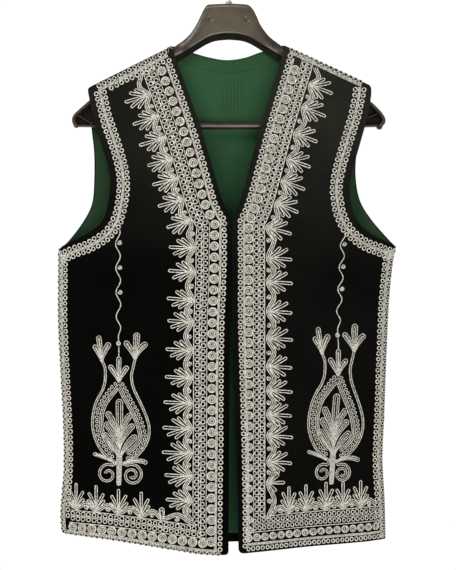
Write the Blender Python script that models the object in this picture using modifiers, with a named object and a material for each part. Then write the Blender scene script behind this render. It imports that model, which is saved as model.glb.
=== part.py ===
"""Embroidered folk vest hanging on a moulded hanger.

Frame: +Z up, the front faces -Y, +X to the viewer's right. The origin is the inside top of the hook, where
the rail carries it. Tables are in millimetres, and the objects are in metres. The sides are the wearer's:
the right front lies at -X and the left front at +X.
"""

import math
from collections import namedtuple

import bmesh
import bpy
import numpy as np
from mathutils import Vector
from mathutils.geometry import delaunay_2d_cdt

MM = 0.001

# Cloth
VELVET = 2.0
LINING = 1.0
SEAM_GAP = 0.3
LINING_GAP = 0.45
SEAM_Y = 0.25
SEAM_TURN = 3.0
FRONT_DEPTH = 34.0
BACK_DEPTH = 30.0
SHOULDER_DEPTH = 18.0
SHOULDER_ROUND = 16.0
SHOULDER_TO_CHEST = 240.0
SECTION_POWER = 2.1
ARMHOLE_SPREAD = 0.35
NECK_INSIDE = 76.0
MOST_LENGTHENED = 1.25
LINING_HEM_INSET = 13.0
LINING_EDGE_INSET = 2.4
LINING_TIP_DROP = 1.0

# Embroidery
CORD_RISE = 1.0
CORD_GAP = 0.4
TURNING_ROWS = 6
TURNING_COLUMNS = 6
EDGE_MARGIN = 7.0
LEAST_MARGIN = 5.0
NARROW_BAND = 20.0
WIDE_BAND = 55.0
PALMETTE_LENGTH = 33.0

# Hanger
BAR_RADIUS = 5.5
BAR_Z = -226.5
BAR_HALF_LENGTH = 185.1
WIRE_RADIUS = 2.0
HOOK_RADIUS = 21.0
PLATE_TOP_Z = -54.3

Spot = namedtuple("Spot", "x z")
Fold = namedtuple("Fold", "x_top x_hem z_top z_full width depth")
Station = namedtuple("Station", "x z_top z_bottom half_depth half_web")
Vase = namedtuple("Vase", "x top bottom lean half_width tulip_drop tulip_side stem_side")

# Outline tables: a row for each point, from the hem up. Columns are x and z.
SIDE_SEAM = {
    -1: [Spot(-239.0, -806.0), Spot(-240.8, -774.0), Spot(-236.0, -712.0), Spot(-237.2, -646.0),
         Spot(-241.0, -580.0), Spot(-244.5, -505.0), Spot(-243.6, -445.0), Spot(-242.2, -403.7)],
    1: [Spot(222.9, -812.0), Spot(222.0, -760.0), Spot(220.0, -700.0), Spot(222.5, -640.0),
        Spot(226.1, -550.0), Spot(229.5, -475.0), Spot(234.0, -425.0), Spot(237.5, -399.4)],
}
FRONT_ARMHOLE = {
    -1: [Spot(-242.2, -403.7), Spot(-220.9, -391.0), Spot(-194.0, -377.5), Spot(-175.5, -358.0),
         Spot(-167.6, -320.0), Spot(-170.5, -290.0), Spot(-182.5, -255.0), Spot(-193.8, -221.0),
         Spot(-200.9, -177.1)],
    1: [Spot(237.5, -399.4), Spot(216.6, -389.0), Spot(192.5, -376.0), Spot(177.0, -356.0),
        Spot(170.0, -324.0), Spot(173.0, -295.0), Spot(181.5, -258.0), Spot(192.6, -221.0),
        Spot(201.8, -173.5)],
}
BACK_ARMHOLE = {
    -1: [Spot(-242.2, -403.7), Spot(-228.5, -388.9), Spot(-208.0, -360.5), Spot(-196.5, -335.0),
         Spot(-193.6, -300.0), Spot(-193.8, -262.0), Spot(-197.6, -225.0), Spot(-200.9, -177.1)],
    1: [Spot(237.5, -399.4), Spot(229.0, -388.5), Spot(205.1, -360.1), Spot(188.5, -332.0),
        Spot(182.3, -297.0), Spot(184.0, -262.0), Spot(192.1, -227.0), Spot(201.8, -173.5)],
}
FRONT_EDGE = {
    -1: [Spot(-1.7, -833.5), Spot(-1.3, -727.0), Spot(-0.6, -643.0), Spot(0.5, -517.0),
         Spot(3.6, -440.0), Spot(3.9, -361.0)],
    1: [Spot(13.6, -828.0), Spot(12.0, -727.0), Spot(9.6, -643.0), Spot(5.3, -517.0),
        Spot(4.9, -440.0), Spot(4.9, -361.0)],
}
FRONT_NECK = {
    -1: [Spot(3.9, -361.0), Spot(-9.6, -334.3), Spot(-24.5, -283.7), Spot(-39.9, -232.6),
         Spot(-59.6, -177.0), Spot(-75.8, -132.1), Spot(-80.4, -112.9)],
    1: [Spot(4.9, -361.0), Spot(16.2, -334.3), Spot(30.3, -283.7), Spot(44.0, -232.6),
        Spot(59.8, -179.9), Spot(74.5, -132.1), Spot(77.1, -113.6)],
}
BACK_NECK = [Spot(-80.4, -112.9), Spot(-56.6, -118.8), Spot(-27.9, -126.7), Spot(-2.0, -130.3),
             Spot(23.8, -126.7), Spot(46.8, -118.8), Spot(77.1, -113.6)]
FRONT_HEM = {
    -1: [Spot(-1.7, -833.5), Spot(-37.0, -831.9), Spot(-86.1, -824.9), Spot(-177.2, -811.5),
         Spot(-239.0, -806.0)],
    1: [Spot(13.6, -828.0), Spot(42.8, -824.9), Spot(121.3, -817.9), Spot(222.9, -812.0)],
}
BACK_HEM = [Spot(-239.0, -806.0), Spot(-150.0, -817.0), Spot(-2.0, -824.0), Spot(130.0, -819.0),
            Spot(222.9, -812.0)]

# Soft folds that stand out from the panel, a row for each. Depth is the height of the crest.
FRONT_FOLDS = {
    -1: [Fold(-196.0, -205.0, -420.0, -620.0, 26.0, 2.5), Fold(-120.0, -112.0, -330.0, -480.0, 34.0, -2.0)],
    1: [Fold(190.0, 196.0, -410.0, -600.0, 24.0, 2.5), Fold(118.0, 110.0, -320.0, -470.0, 32.0, -2.0)],
}
BACK_FOLDS = [Fold(-110.0, -150.0, -260.0, -640.0, 34.0, 5.0), Fold(-20.0, -30.0, -340.0, -700.0, 40.0, -4.0),
              Fold(95.0, 120.0, -250.0, -620.0, 36.0, 5.0)]

# Heights of the palmettes up each front edge, and places of those along each hem.
EDGE_PALMETTE_Z = {
    -1: [-756.0, -724.0, -690.0, -656.0, -620.0, -584.0, -545.0, -508.0, -473.0, -437.0, -402.0, -374.0,
         -345.0, -315.0, -287.0, -258.0, -229.0, -198.0],
    1: [-737.0, -701.0, -667.0, -635.0, -601.0, -568.0, -529.0, -491.0, -450.0, -416.0, -381.0, -350.0,
        -318.0, -287.0, -251.0, -215.0, -182.0],
}
HEM_PALMETTE_X = {
    -1: [-214.0, -184.0, -152.0, -120.0],
    1: [84.0, 108.0, 135.0, 160.0, 185.0],
}

# The vase motif of each front, and its drop outline: share of the height from the point down, share of the width.
VASES = {
    -1: Vase(-154.0, -590.0, -704.0, 2.0, 40.0, 29.0, 26.0, 18.0),
    1: Vase(148.0, -582.0, -703.0, -3.0, 38.0, 33.0, 24.0, 15.0),
}
DROP_HALF_WIDTH = [(0.0, 0.06), (0.12, 0.26), (0.25, 0.5), (0.42, 0.8), (0.56, 0.97), (0.66, 1.0),
                   (0.8, 0.9), (0.92, 0.6), (1.0, 0.2)]
DROP_BAND = 9.0
CORD_WIDTH = 3.0

# Hanger sections from the middle out.
HANGER = [
    Station(0.0, -54.3, -103.5, 8.0, 7.2), Station(16.0, -54.3, -104.6, 8.0, 7.2),
    Station(27.0, -54.9, -108.0, 8.1, 7.3), Station(32.5, -57.5, -111.0, 8.1, 7.2),
    Station(38.0, -65.0, -114.0, 8.2, 7.0), Station(44.5, -76.5, -118.0, 8.3, 6.6),
    Station(50.5, -89.5, -122.0, 8.0, 6.0), Station(58.0, -101.5, -126.5, 6.4, 5.2),
    Station(67.0, -115.0, -132.0, 4.5, 4.0), Station(77.0, -120.0, -138.0, 7.0, 4.4),
    Station(100.0, -130.5, -151.0, 10.0, 4.2), Station(125.0, -143.5, -165.0, 11.0, 4.0),
    Station(150.0, -157.0, -179.0, 11.8, 4.0), Station(172.0, -170.0, -192.0, 12.4, 4.0),
    Station(185.6, -180.0, -200.0, 12.6, 4.0), Station(185.9, -180.3, -233.0, 12.6, 4.0),
    Station(199.0, -191.5, -233.5, 12.6, 4.0), Station(212.0, -203.0, -233.0, 12.2, 4.0),
    Station(219.5, -210.5, -230.0, 11.0, 4.0), Station(223.5, -216.5, -225.5, 7.0, 4.0),
]

FRONT_BODY_ROWS = 13
FRONT_ARM_ROWS = 8
EDGE_ROWS = 15
FRONT_COLUMNS = 8
BACK_BODY_ROWS = 12
BACK_ARM_ROWS = 7
SHOULDER_STEPS = (16.0, 8.0, 3.0)


def smooth_step(value):
    value = np.clip(value, 0.0, 1.0)
    return value * value * (3.0 - 2.0 * value)


def curve_through(spots, per_span=12):
    """Points along a smooth curve through the table's points."""
    ends = [2 * np.array(spots[0]) - np.array(spots[1]), 2 * np.array(spots[-1]) - np.array(spots[-2])]
    knots = np.array([ends[0], *spots, ends[1]], float)
    steps = np.linspace(0.0, 1.0, per_span, endpoint=False)[:, None]
    pieces = []
    for a, b, c, d in zip(knots, knots[1:], knots[2:], knots[3:]):
        pieces.append(0.5 * (2 * b + (c - a) * steps + (2 * a - 5 * b + 4 * c - d) * steps**2
                             + (3 * b - 3 * c + d - a) * steps**3))
    return np.vstack([*pieces, knots[-2]])


def along(curve, distances):
    """Points of a dense curve at given distances from its start."""
    lengths = np.concatenate([[0.0], np.cumsum(np.linalg.norm(np.diff(curve, axis=0), axis=1))])
    return np.column_stack([np.interp(distances, lengths, curve[:, k]) for k in range(2)])


def length_of(curve):
    return float(np.linalg.norm(np.diff(curve, axis=0), axis=1).sum())


def even_rows(curve, rows):
    return along(curve, np.linspace(0.0, length_of(curve), rows + 1))


def shoulder_rows(curve, rows):
    """Even rows up the curve, then closer ones where the cloth rounds over the shoulder."""
    total = length_of(curve)
    even = np.linspace(0.0, total - SHOULDER_STEPS[0], rows + 1)
    return along(curve, np.concatenate([even, [total - step for step in SHOULDER_STEPS[1:]], [total]]))


def shoulder_height(x):
    """Height of the shoulder line, carried on past the neck."""
    out = np.sqrt(np.square(x) + 400.0)
    left = np.interp(out, [77.1, 201.8], [-113.6, -173.5]) + np.clip(77.1 - out, 0.0, None) * 0.48
    right = np.interp(out, [80.4, 200.9], [-112.9, -177.1]) + np.clip(80.4 - out, 0.0, None) * 0.53
    return np.where(np.asarray(x) < 0, right, left)


SIDE_CURVES = {side: curve_through(SIDE_SEAM[side]) for side in SIDE_SEAM}


def half_width(x, z):
    """Half width of the body at a height, widening where the armholes open it."""
    side = {s: np.interp(z, c[:, 1], np.abs(c[:, 0])) for s, c in SIDE_CURVES.items()}
    width = np.where(np.asarray(x) < 0, side[-1], side[1])
    rise = (np.asarray(z) + 402.0) / 200.0
    return width * (1.0 + ARMHOLE_SPREAD * smooth_step(rise))


def fold_height(folds, x, z):
    total = np.zeros(np.broadcast(x, z).shape)
    for fold in folds:
        down = (fold.z_top - z) / (fold.z_top - fold.z_full)
        centre = fold.x_top + (fold.x_hem - fold.x_top) * np.clip((fold.z_top - z) / 480.0, 0.0, 1.0)
        total = total + fold.depth * smooth_step(down) * np.exp(-np.square((x - centre) / fold.width))
    return total


def depth_at(x, z, chest_depth, folds):
    """How far the cloth stands from the plane of the seams."""
    below = np.clip(shoulder_height(x) - z, 0.0, None)
    rounded = np.clip(below / SHOULDER_ROUND, 0.0, 1.0)
    rise = (1.0 - (1.0 - rounded) ** 2.2) ** (1 / 2.2)
    chest = SHOULDER_DEPTH + (chest_depth - SHOULDER_DEPTH) * smooth_step(below / SHOULDER_TO_CHEST)
    across = np.clip(np.abs(x) / half_width(x, z), 0.0, 1.0)
    section = (1.0 - across**SECTION_POWER) ** (1 / SECTION_POWER)
    return SEAM_TURN + (chest * rise + fold_height(folds, x, z) * rise) * section


def front_grid(side):
    """Points of a front, row by row from the hem, column by column from the front edge to the side."""
    edge, neck = curve_through(FRONT_EDGE[side]), curve_through(FRONT_NECK[side])
    seam, armhole = SIDE_CURVES[side], curve_through(FRONT_ARMHOLE[side])
    neck_rows = FRONT_BODY_ROWS + FRONT_ARM_ROWS - EDGE_ROWS
    inner = np.vstack([even_rows(edge, EDGE_ROWS)[:-1], shoulder_rows(neck, neck_rows)])
    outer = np.vstack([even_rows(seam, FRONT_BODY_ROWS)[:-1], shoulder_rows(armhole, FRONT_ARM_ROWS)])
    across = 1.0 - (1.0 - np.linspace(0.0, 1.0, FRONT_COLUMNS + 1)) ** 1.6
    flat = inner[:, None] + (outer - inner)[:, None] * across[None, :, None]
    add_hem_curve(flat, curve_through(FRONT_HEM[side]), 4)
    round_corner(flat[0, 0], side * 2.2)
    round_corner(flat[0, -1], -side * 2.2)
    grid = np.dstack([flat[..., 0], -depth_at(flat[..., 0], flat[..., 1], FRONT_DEPTH, FRONT_FOLDS[side]),
                      flat[..., 1]])
    return with_seams(grid, FRONT_BODY_ROWS, [(-1, -side)], -SEAM_Y, FRONT_DEPTH, FRONT_FOLDS[side])


def add_hem_curve(flat, hem, rows):
    """Lowers the first rows onto the curve of the hem."""
    order = np.argsort(hem[:, 0])
    dip = np.interp(flat[0, :, 0], hem[order, 0], hem[order, 1]) - flat[0, :, 1]
    for row in range(rows):
        flat[row, :, 1] += dip * (1.0 - row / rows)


def round_corner(spot, inward):
    """Draws a corner of the hem in, as its turned edge is rounded."""
    spot += (inward, abs(inward))


def with_seams(grid, body_rows, sides, seam_y, chest_depth, folds):
    """Adds the narrow turn at each side seam, and the one along the shoulder."""
    facing = math.copysign(1.0, seam_y)
    for column, inward in sides:
        edge = grid[:, column].copy()
        inner = edge.copy()
        inner[body_rows + 1:, 0] += inward * SEAM_TURN
        inner[:, 1] = facing * depth_at(inner[:, 0], inner[:, 2], chest_depth, folds)
        edge[:body_rows + 1, 1] = seam_y
        if column == -1:
            grid = np.concatenate([grid[:, :-1], inner[:, None], edge[:, None]], axis=1)
        else:
            grid = np.concatenate([edge[:, None], inner[:, None], grid[:, 1:]], axis=1)
    top = grid[-1].copy()
    neck = np.abs(top[:, 0]) < NECK_INSIDE
    grid[-1, neck, 2] -= SEAM_TURN
    grid[-1, neck, 1] = facing * depth_at(grid[-1, neck, 0], grid[-1, neck, 2], chest_depth, folds)
    top[~neck, 1] = seam_y
    return np.concatenate([grid, top[None]], axis=0)


def back_grid():
    """Points of the back, row by row from the hem, from the right side seam to the left."""
    outer = {}
    for side in SIDE_SEAM:
        armhole = curve_through(BACK_ARMHOLE[side])
        outer[side] = np.vstack([even_rows(SIDE_CURVES[side], BACK_BODY_ROWS)[:-1],
                                 shoulder_rows(armhole, BACK_ARM_ROWS)])
    part = 0.3 * np.linspace(0.0, 1.0, 6) ** 1.6
    across = np.concatenate([part, [0.34, 0.42, 0.5, 0.58, 0.66], 1.0 - part[::-1]])
    flat = outer[-1][:, None] + (outer[1] - outer[-1])[:, None] * across[None, :, None]
    add_hem_curve(flat, curve_through(BACK_HEM), 4)
    add_neck_curve(flat, across)
    y = depth_at(flat[..., 0], flat[..., 1], BACK_DEPTH, BACK_FOLDS)
    grid = np.dstack([flat[..., 0], y, flat[..., 1]])
    return with_seams(grid, BACK_BODY_ROWS, [(0, 1), (-1, -1)], SEAM_Y, BACK_DEPTH, BACK_FOLDS)


def add_neck_curve(flat, across):
    """Bends the top row along the shoulders and the back neck, and fades the bend down to the armholes."""
    neck = curve_through(BACK_NECK)
    top = flat[-1].copy()
    start, end = top[0], top[-1]
    for column, share in enumerate(across):
        if share <= 0.3:
            top[column] = start + (neck[0] - start) * share / 0.3
        elif share >= 0.7:
            top[column] = end + (neck[-1] - end) * (1.0 - share) / 0.3
        else:
            top[column] = along(neck, length_of(neck) * (share - 0.3) / 0.4)[0]
    bend = top - flat[-1]
    tops = flat[:, 0, 1]
    fade = np.clip((tops - tops[BACK_BODY_ROWS]) / (tops[-1] - tops[BACK_BODY_ROWS]), 0.0, 1.0)
    flat += bend[None] * fade[:, None, None]


def lining_grids(grid):
    """The lining's two faces: the back's points moved in past the velvet, short of the hem and armholes."""
    normals = grid_normals(grid)
    grid = grid.copy()
    step = np.linalg.norm(grid[1] - grid[0], axis=1)[:, None]
    grid[0] += (grid[1] - grid[0]) * LINING_HEM_INSET / step
    for column in (0, 1, -2, -1):
        grid[-2:, column, 2] -= LINING_TIP_DROP
    for column, inward in ((0, 1), (1, 1), (-1, -1), (-2, -1)):
        run = grid[BACK_BODY_ROWS + 1:, column + inward] - grid[BACK_BODY_ROWS + 1:, column]
        grid[BACK_BODY_ROWS + 1:, column] += run * LINING_EDGE_INSET / np.linalg.norm(run, axis=1)[:, None]
    return grid - normals * (VELVET + LINING_GAP), grid - normals * (VELVET + LINING_GAP + LINING)


def grid_normals(grid):
    """Each point's normal, facing away from the wearer, lengthened so that a wall keeps its thickness."""
    mesh = bmesh.new()
    rows, columns = grid.shape[:2]
    verts = [mesh.verts.new(point) for point in grid.reshape(-1, 3)]
    for corners in grid_triangles(rows, columns):
        mesh.faces.new([verts[k] for k in corners])
    mesh.normal_update()
    normals = np.array([v.normal * min(v.calc_shell_factor(), MOST_LENGTHENED) for v in verts])
    mesh.free()
    facing = math.copysign(1.0, (normals[:, 1] * grid.reshape(-1, 3)[:, 1]).sum())
    return facing * normals.reshape(grid.shape)


def grid_triangles(rows, columns):
    for r in range(rows - 1):
        for c in range(columns - 1):
            a, b = r * columns + c, r * columns + c + 1
            d, e = a + columns, b + columns
            yield (a, b, e)
            yield (a, e, d)


def moved_out(grid, distance):
    """The grid's points moved along the surface's normals, away from the wearer."""
    return grid + grid_normals(grid) * distance


def new_object(name, mesh_data, collection, material):
    obj = bpy.data.objects.new(name, mesh_data)
    mesh_data.materials.append(material)
    collection.objects.link(obj)
    return obj


def mesh_from(mesh, name):
    """A smooth mesh in metres from a bmesh in millimetres."""
    bmesh.ops.scale(mesh, vec=Vector((MM, MM, MM)), verts=mesh.verts)
    data = bpy.data.meshes.new(name)
    mesh.to_mesh(data)
    mesh.free()
    data.shade_smooth()
    data.set_sharp_from_angle(angle=math.radians(50))
    return data


def cloth(name, outer, inner, collection, material):
    """A panel's closed wall, a loft between the grids of its outer and inner faces."""
    rows, columns = outer.shape[:2]
    mesh = bmesh.new()
    near = [mesh.verts.new(point) for point in outer.reshape(-1, 3)]
    far = [mesh.verts.new(point) for point in inner.reshape(-1, 3)]
    for corners in grid_triangles(rows, columns):
        mesh.faces.new([near[k] for k in corners])
        mesh.faces.new([far[k] for k in corners[::-1]])
    rim = rim_of(rows, columns)
    for a, b in zip(rim, rim[1:] + rim[:1]):
        mesh.faces.new([near[b], near[a], far[a], far[b]])
    bmesh.ops.recalc_face_normals(mesh, faces=mesh.faces)
    return new_object(name, mesh_from(mesh, name), collection, material)


def rim_of(rows, columns):
    """The numbers of the points along the grid's border, in order round it."""
    last = (rows - 1) * columns
    right = [r * columns + columns - 1 for r in range(1, rows - 1)]
    left = [r * columns for r in range(1, rows - 1)]
    return [*range(columns), *right, *range(last + columns - 1, last - 1, -1), *left[::-1]]


def flat_map(grid):
    """Each grid point's place on the flat panel: distance round from the middle, and height."""
    flat = np.zeros(grid.shape[:2] + (2,))
    steps = np.linalg.norm(np.diff(grid[:, :, :2], axis=1), axis=2)
    sign = math.copysign(1.0, grid[5, -1, 0])
    flat[:, :, 0] = grid[:, :1, 0] + sign * np.concatenate(
        [np.zeros((len(grid), 1)), np.cumsum(steps, axis=1)], axis=1)
    flat[:, :, 1] = grid[:, :, 2]
    flat[-1, :, 1] += SEAM_TURN - SEAM_Y
    return flat


def embroidery(name, shapes, holes, grid, collection, material):
    """Raised work on a panel: flat shapes, cut along the panel's own creases and laid just above it."""
    flat = flat_map(grid).reshape(-1, 2)
    base = moved_out(grid, CORD_GAP).reshape(-1, 3)
    top = moved_out(grid, CORD_GAP + CORD_RISE).reshape(-1, 3)
    triangles = np.array(list(grid_triangles(*grid.shape[:2])))
    limit = panel_limit(grid)
    rims, spots = joined_outline(shapes, holes, limit)
    points = [Vector(p) for p in flat] + spots
    edges = creases(*grid.shape[:2]) + [(a + len(flat), b + len(flat)) for a, b in rims]
    verts, _, cells, _, _, _ = delaunay_2d_cdt(points, edges, [], 0, 1e-4)
    verts = np.array([tuple(v) for v in verts])
    middles = np.array([verts[cell].mean(axis=0) for cell in cells])
    kept = inside_any(middles, shapes) & inside_any(middles, [limit]) & ~inside_any(middles, holes)
    cells = [cell for cell, keep in zip(cells, kept) if keep]
    place = locator(flat, triangles, verts)
    return raised_mesh(name, cells, place(base), place(top), collection, material)


def creases(rows, columns):
    """The panel's lines that raised work bends along: all where it turns over, and each row elsewhere."""
    pairs = []
    for r in range(rows - 1):
        for c in range(columns - 1):
            corner = r * columns + c
            pairs.append((corner, corner + 1))
            if r >= rows - TURNING_ROWS or c >= columns - TURNING_COLUMNS:
                pairs += [(corner, corner + columns), (corner, corner + columns + 1)]
    return pairs


def panel_limit(grid):
    """The flat panel's outline, drawn in by the bare margin that the work keeps from every edge."""
    flat = flat_map(grid)[:-1]
    rows, columns = flat.shape[:2]
    outline = counterclockwise(flat.reshape(-1, 2)[rim_of(rows, columns)])
    before = outline - np.roll(outline, 1, axis=0)
    after = np.roll(outline, -1, axis=0) - outline
    before /= np.linalg.norm(before, axis=1)[:, None]
    after /= np.linalg.norm(after, axis=1)[:, None]
    inward = np.column_stack([-(before + after)[:, 1], (before + after)[:, 0]])
    spread = np.square(inward).sum(axis=1)[:, None] / 2.0
    return outline + inward * LEAST_MARGIN / np.clip(spread, 0.7, None)


def joined_outline(shapes, holes, limit):
    """The outline of overlapping shapes taken as one, as pairs of point numbers, and the points."""
    points, faces = [], []
    for shape in [*shapes, limit, *holes]:
        faces.append(list(range(len(points), len(points) + len(shape))))
        points += [Vector(p) for p in counterclockwise(shape)]
    verts, _, cells, _, _, sources = delaunay_2d_cdt(points, [], faces, 1, 1e-4)
    rims = set()
    for cell, source in zip(cells, sources):
        if source and min(source) < len(shapes) == max(source):
            for a, b in zip(cell, cell[1:] + cell[:1]):
                rims ^= {(min(a, b), max(a, b))}
    return sorted(rims), list(verts)


def inside_any(spots, shapes):
    """Which spots lie inside at least one of the shapes."""
    found = np.zeros(len(spots), bool)
    for shape in shapes:
        crossings = np.zeros(len(spots), int)
        for a, b in zip(shape, np.roll(shape, -1, axis=0)):
            between = (a[1] > spots[:, 1]) != (b[1] > spots[:, 1])
            rise = (spots[:, 1] - a[1]) / (b[1] - a[1] if b[1] != a[1] else 1.0)
            crossings += between & (spots[:, 0] < a[0] + rise * (b[0] - a[0]))
        found |= crossings % 2 == 1
    return found


def counterclockwise(shape):
    shape = np.asarray(shape, float)
    x, z = shape[:, 0], shape[:, 1]
    area = (x * np.roll(z, -1) - np.roll(x, -1) * z).sum()
    return shape if area > 0 else shape[::-1]


def locator(flat, triangles, spots):
    """Finds each spot's triangle, and returns a function that reads it from any set of grid points."""
    a, b, c = (flat[triangles[:, k]] for k in range(3))
    det = (b[:, 0] - a[:, 0]) * (c[:, 1] - a[:, 1]) - (c[:, 0] - a[:, 0]) * (b[:, 1] - a[:, 1])
    d = spots[:, None] - a[None]
    v = (d[..., 0] * (c - a)[None, :, 1] - d[..., 1] * (c - a)[None, :, 0]) / det
    w = (d[..., 1] * (b - a)[None, :, 0] - d[..., 0] * (b - a)[None, :, 1]) / det
    weights = np.stack([1.0 - v - w, v, w], axis=2)
    best = weights.min(axis=2).argmax(axis=1)
    chosen = weights[np.arange(len(spots)), best]
    return lambda points: (points[triangles[best]] * chosen[..., None]).sum(axis=1)


def raised_mesh(name, cells, base, top, collection, material):
    """A closed plate between two layers of points over the kept cells."""
    mesh = bmesh.new()
    used = sorted({i for cell in cells for i in cell})
    low = {i: mesh.verts.new(base[i]) for i in used}
    high = {i: mesh.verts.new(top[i]) for i in used}
    rims = {}
    for cell in cells:
        mesh.faces.new([high[i] for i in cell])
        mesh.faces.new([low[i] for i in cell[::-1]])
        for pair in zip(cell, cell[1:] + cell[:1]):
            if pair[::-1] in rims:
                del rims[pair[::-1]]
            else:
                rims[pair] = True
    for a, b in rims:
        mesh.faces.new([high[b], high[a], low[a], low[b]])
    bmesh.ops.recalc_face_normals(mesh, faces=mesh.faces)
    return new_object(name, mesh_from(mesh, name), collection, material)


def offset_rail(curve, distance, side, spacing=26.0):
    """A rail at a distance inside an edge, with points about every spacing."""
    count = max(int(length_of(curve) / spacing), 2)
    spots = even_rows(curve, count)
    run = np.gradient(spots, axis=0)
    run /= np.linalg.norm(run, axis=1)[:, None]
    normal = np.column_stack([-run[:, 1], run[:, 0]]) * side
    distance = np.broadcast_to(distance, len(spots))
    return spots + normal * distance[:, None]


def strip(curve, near, far, side):
    return np.vstack([offset_rail(curve, near, side), offset_rail(curve, far, side)[::-1]])


def part_of(curve, start, end):
    """The stretch of a curve from a distance past its start to a distance before its end."""
    total = length_of(curve)
    return along(curve, np.linspace(start, total - end, max(int(total / 8), 4)))


def stroke(points, width):
    """A cord's outline along a polyline, with square ends."""
    points = np.asarray(points, float)
    run = np.gradient(points, axis=0)
    run /= np.linalg.norm(run, axis=1)[:, None]
    side = np.column_stack([-run[:, 1], run[:, 0]]) * width / 2
    return np.vstack([points + side, (points - side)[::-1]])


def palmette(at, turn, length, fingers, spread=62.0, thickness=4.2):
    """A fan of looped fingers growing from a point. Turn is the middle finger's angle from +X, in degrees."""
    outline = []
    angles = np.linspace(-spread, spread, fingers)
    root = length * 0.16
    for k, angle in enumerate(angles):
        reach = length * (1.0 - 0.38 * (abs(angle) / spread) ** 1.3)
        heading = math.radians(turn + angle)
        ahead = np.array([math.cos(heading), math.sin(heading)])
        side = np.array([-ahead[1], ahead[0]]) * thickness / 2
        outline += [at + ahead * reach - side, at + ahead * (reach + 0.5) + side]
        if k < fingers - 1:
            gap = math.radians(turn + (angle + angles[k + 1]) / 2)
            outline.append(at + np.array([math.cos(gap), math.sin(gap)]) * (root + length * 0.18))
    back = math.radians(turn + 180.0)
    foot = at + np.array([math.cos(back), math.sin(back)]) * root
    across = np.array([-math.sin(back), math.cos(back)]) * root
    return np.array([*outline, foot - across, foot + across])


def edges_on_flat(side, grid):
    """The front's edges on the flat panel, each read off its grid."""
    flat = flat_map(grid)
    rows = FRONT_BODY_ROWS
    return {
        "front": curve_through([tuple(p) for p in flat[:-1, 0]], 4),
        "hem": curve_through([tuple(p) for p in flat[0]], 4),
        "side": curve_through([tuple(p) for p in flat[:rows + 1, -1]], 4),
        "armhole": curve_through([tuple(p) for p in flat[rows:-1, -1]], 4),
        "shoulder": curve_through([tuple(p) for p in flat[-2]], 4),
    }


def border_shapes(side, grid):
    """Bands round the front: a wide scalloped one up the edge and along the hem, narrow ones elsewhere."""
    edges = edges_on_flat(side, grid)
    front = part_of(edges["front"], 14.0, 6.0)
    hem = part_of(edges["hem"], EDGE_MARGIN, 7.0)
    outer = EDGE_MARGIN + WIDE_BAND
    shapes = [
        strip(front, EDGE_MARGIN, outer, -side),
        strip(hem, EDGE_MARGIN, outer, side),
        strip(part_of(edges["side"], EDGE_MARGIN, 4.0), 5.0, 5.0 + NARROW_BAND, side),
        strip(part_of(edges["armhole"], 8.0, 12.0), EDGE_MARGIN, EDGE_MARGIN + NARROW_BAND, side),
        strip(part_of(edges["shoulder"], EDGE_MARGIN, EDGE_MARGIN), 5.0, 5.0 + NARROW_BAND, -side),
    ]
    return shapes + edge_palmettes(side, front) + hem_palmettes(side, hem)


def edge_palmettes(side, front):
    shapes = []
    rail = offset_rail(front, EDGE_MARGIN + WIDE_BAND, -side, 4.0)
    order = np.argsort(rail[:, 1])
    for z in EDGE_PALMETTE_Z[side]:
        x = np.interp(z, rail[order, 1], rail[order, 0])
        turn = 180.0 - 8.0 if side < 0 else 8.0
        shapes.append(palmette(np.array([x + side * 2.0, z - 3.0]), turn, PALMETTE_LENGTH - 4.0, 5))
    return shapes


def hem_palmettes(side, hem):
    shapes = []
    rail = offset_rail(hem, EDGE_MARGIN + WIDE_BAND, side, 4.0)
    order = np.argsort(rail[:, 0])
    for x in HEM_PALMETTE_X[side]:
        z = np.interp(x, rail[order, 0], rail[order, 1])
        shapes.append(palmette(np.array([x, z + 1.0]), 90.0, PALMETTE_LENGTH - 12.0, 3, 48.0))
    return shapes


def drop_outline(vase, inset):
    """The drop-shaped vase, pointed at the top."""
    height = vase.top - vase.bottom
    right, left = [], []
    for share, width in DROP_HALF_WIDTH:
        z = vase.top - share * height + (inset if share > 0.9 else -inset * (share < 0.1) * 1.6)
        reach = max(vase.half_width * width - inset, 0.8)
        middle = vase.x + vase.lean * share
        right.append((middle + reach, z))
        left.append((middle - reach, z))
    return np.array(right + left[::-1])


def arc(centre, radius, start, end, count=12):
    angles = np.radians(np.linspace(start, end, count))
    return np.column_stack([centre[0] + radius * np.cos(angles), centre[1] + radius * np.sin(angles)])


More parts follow.
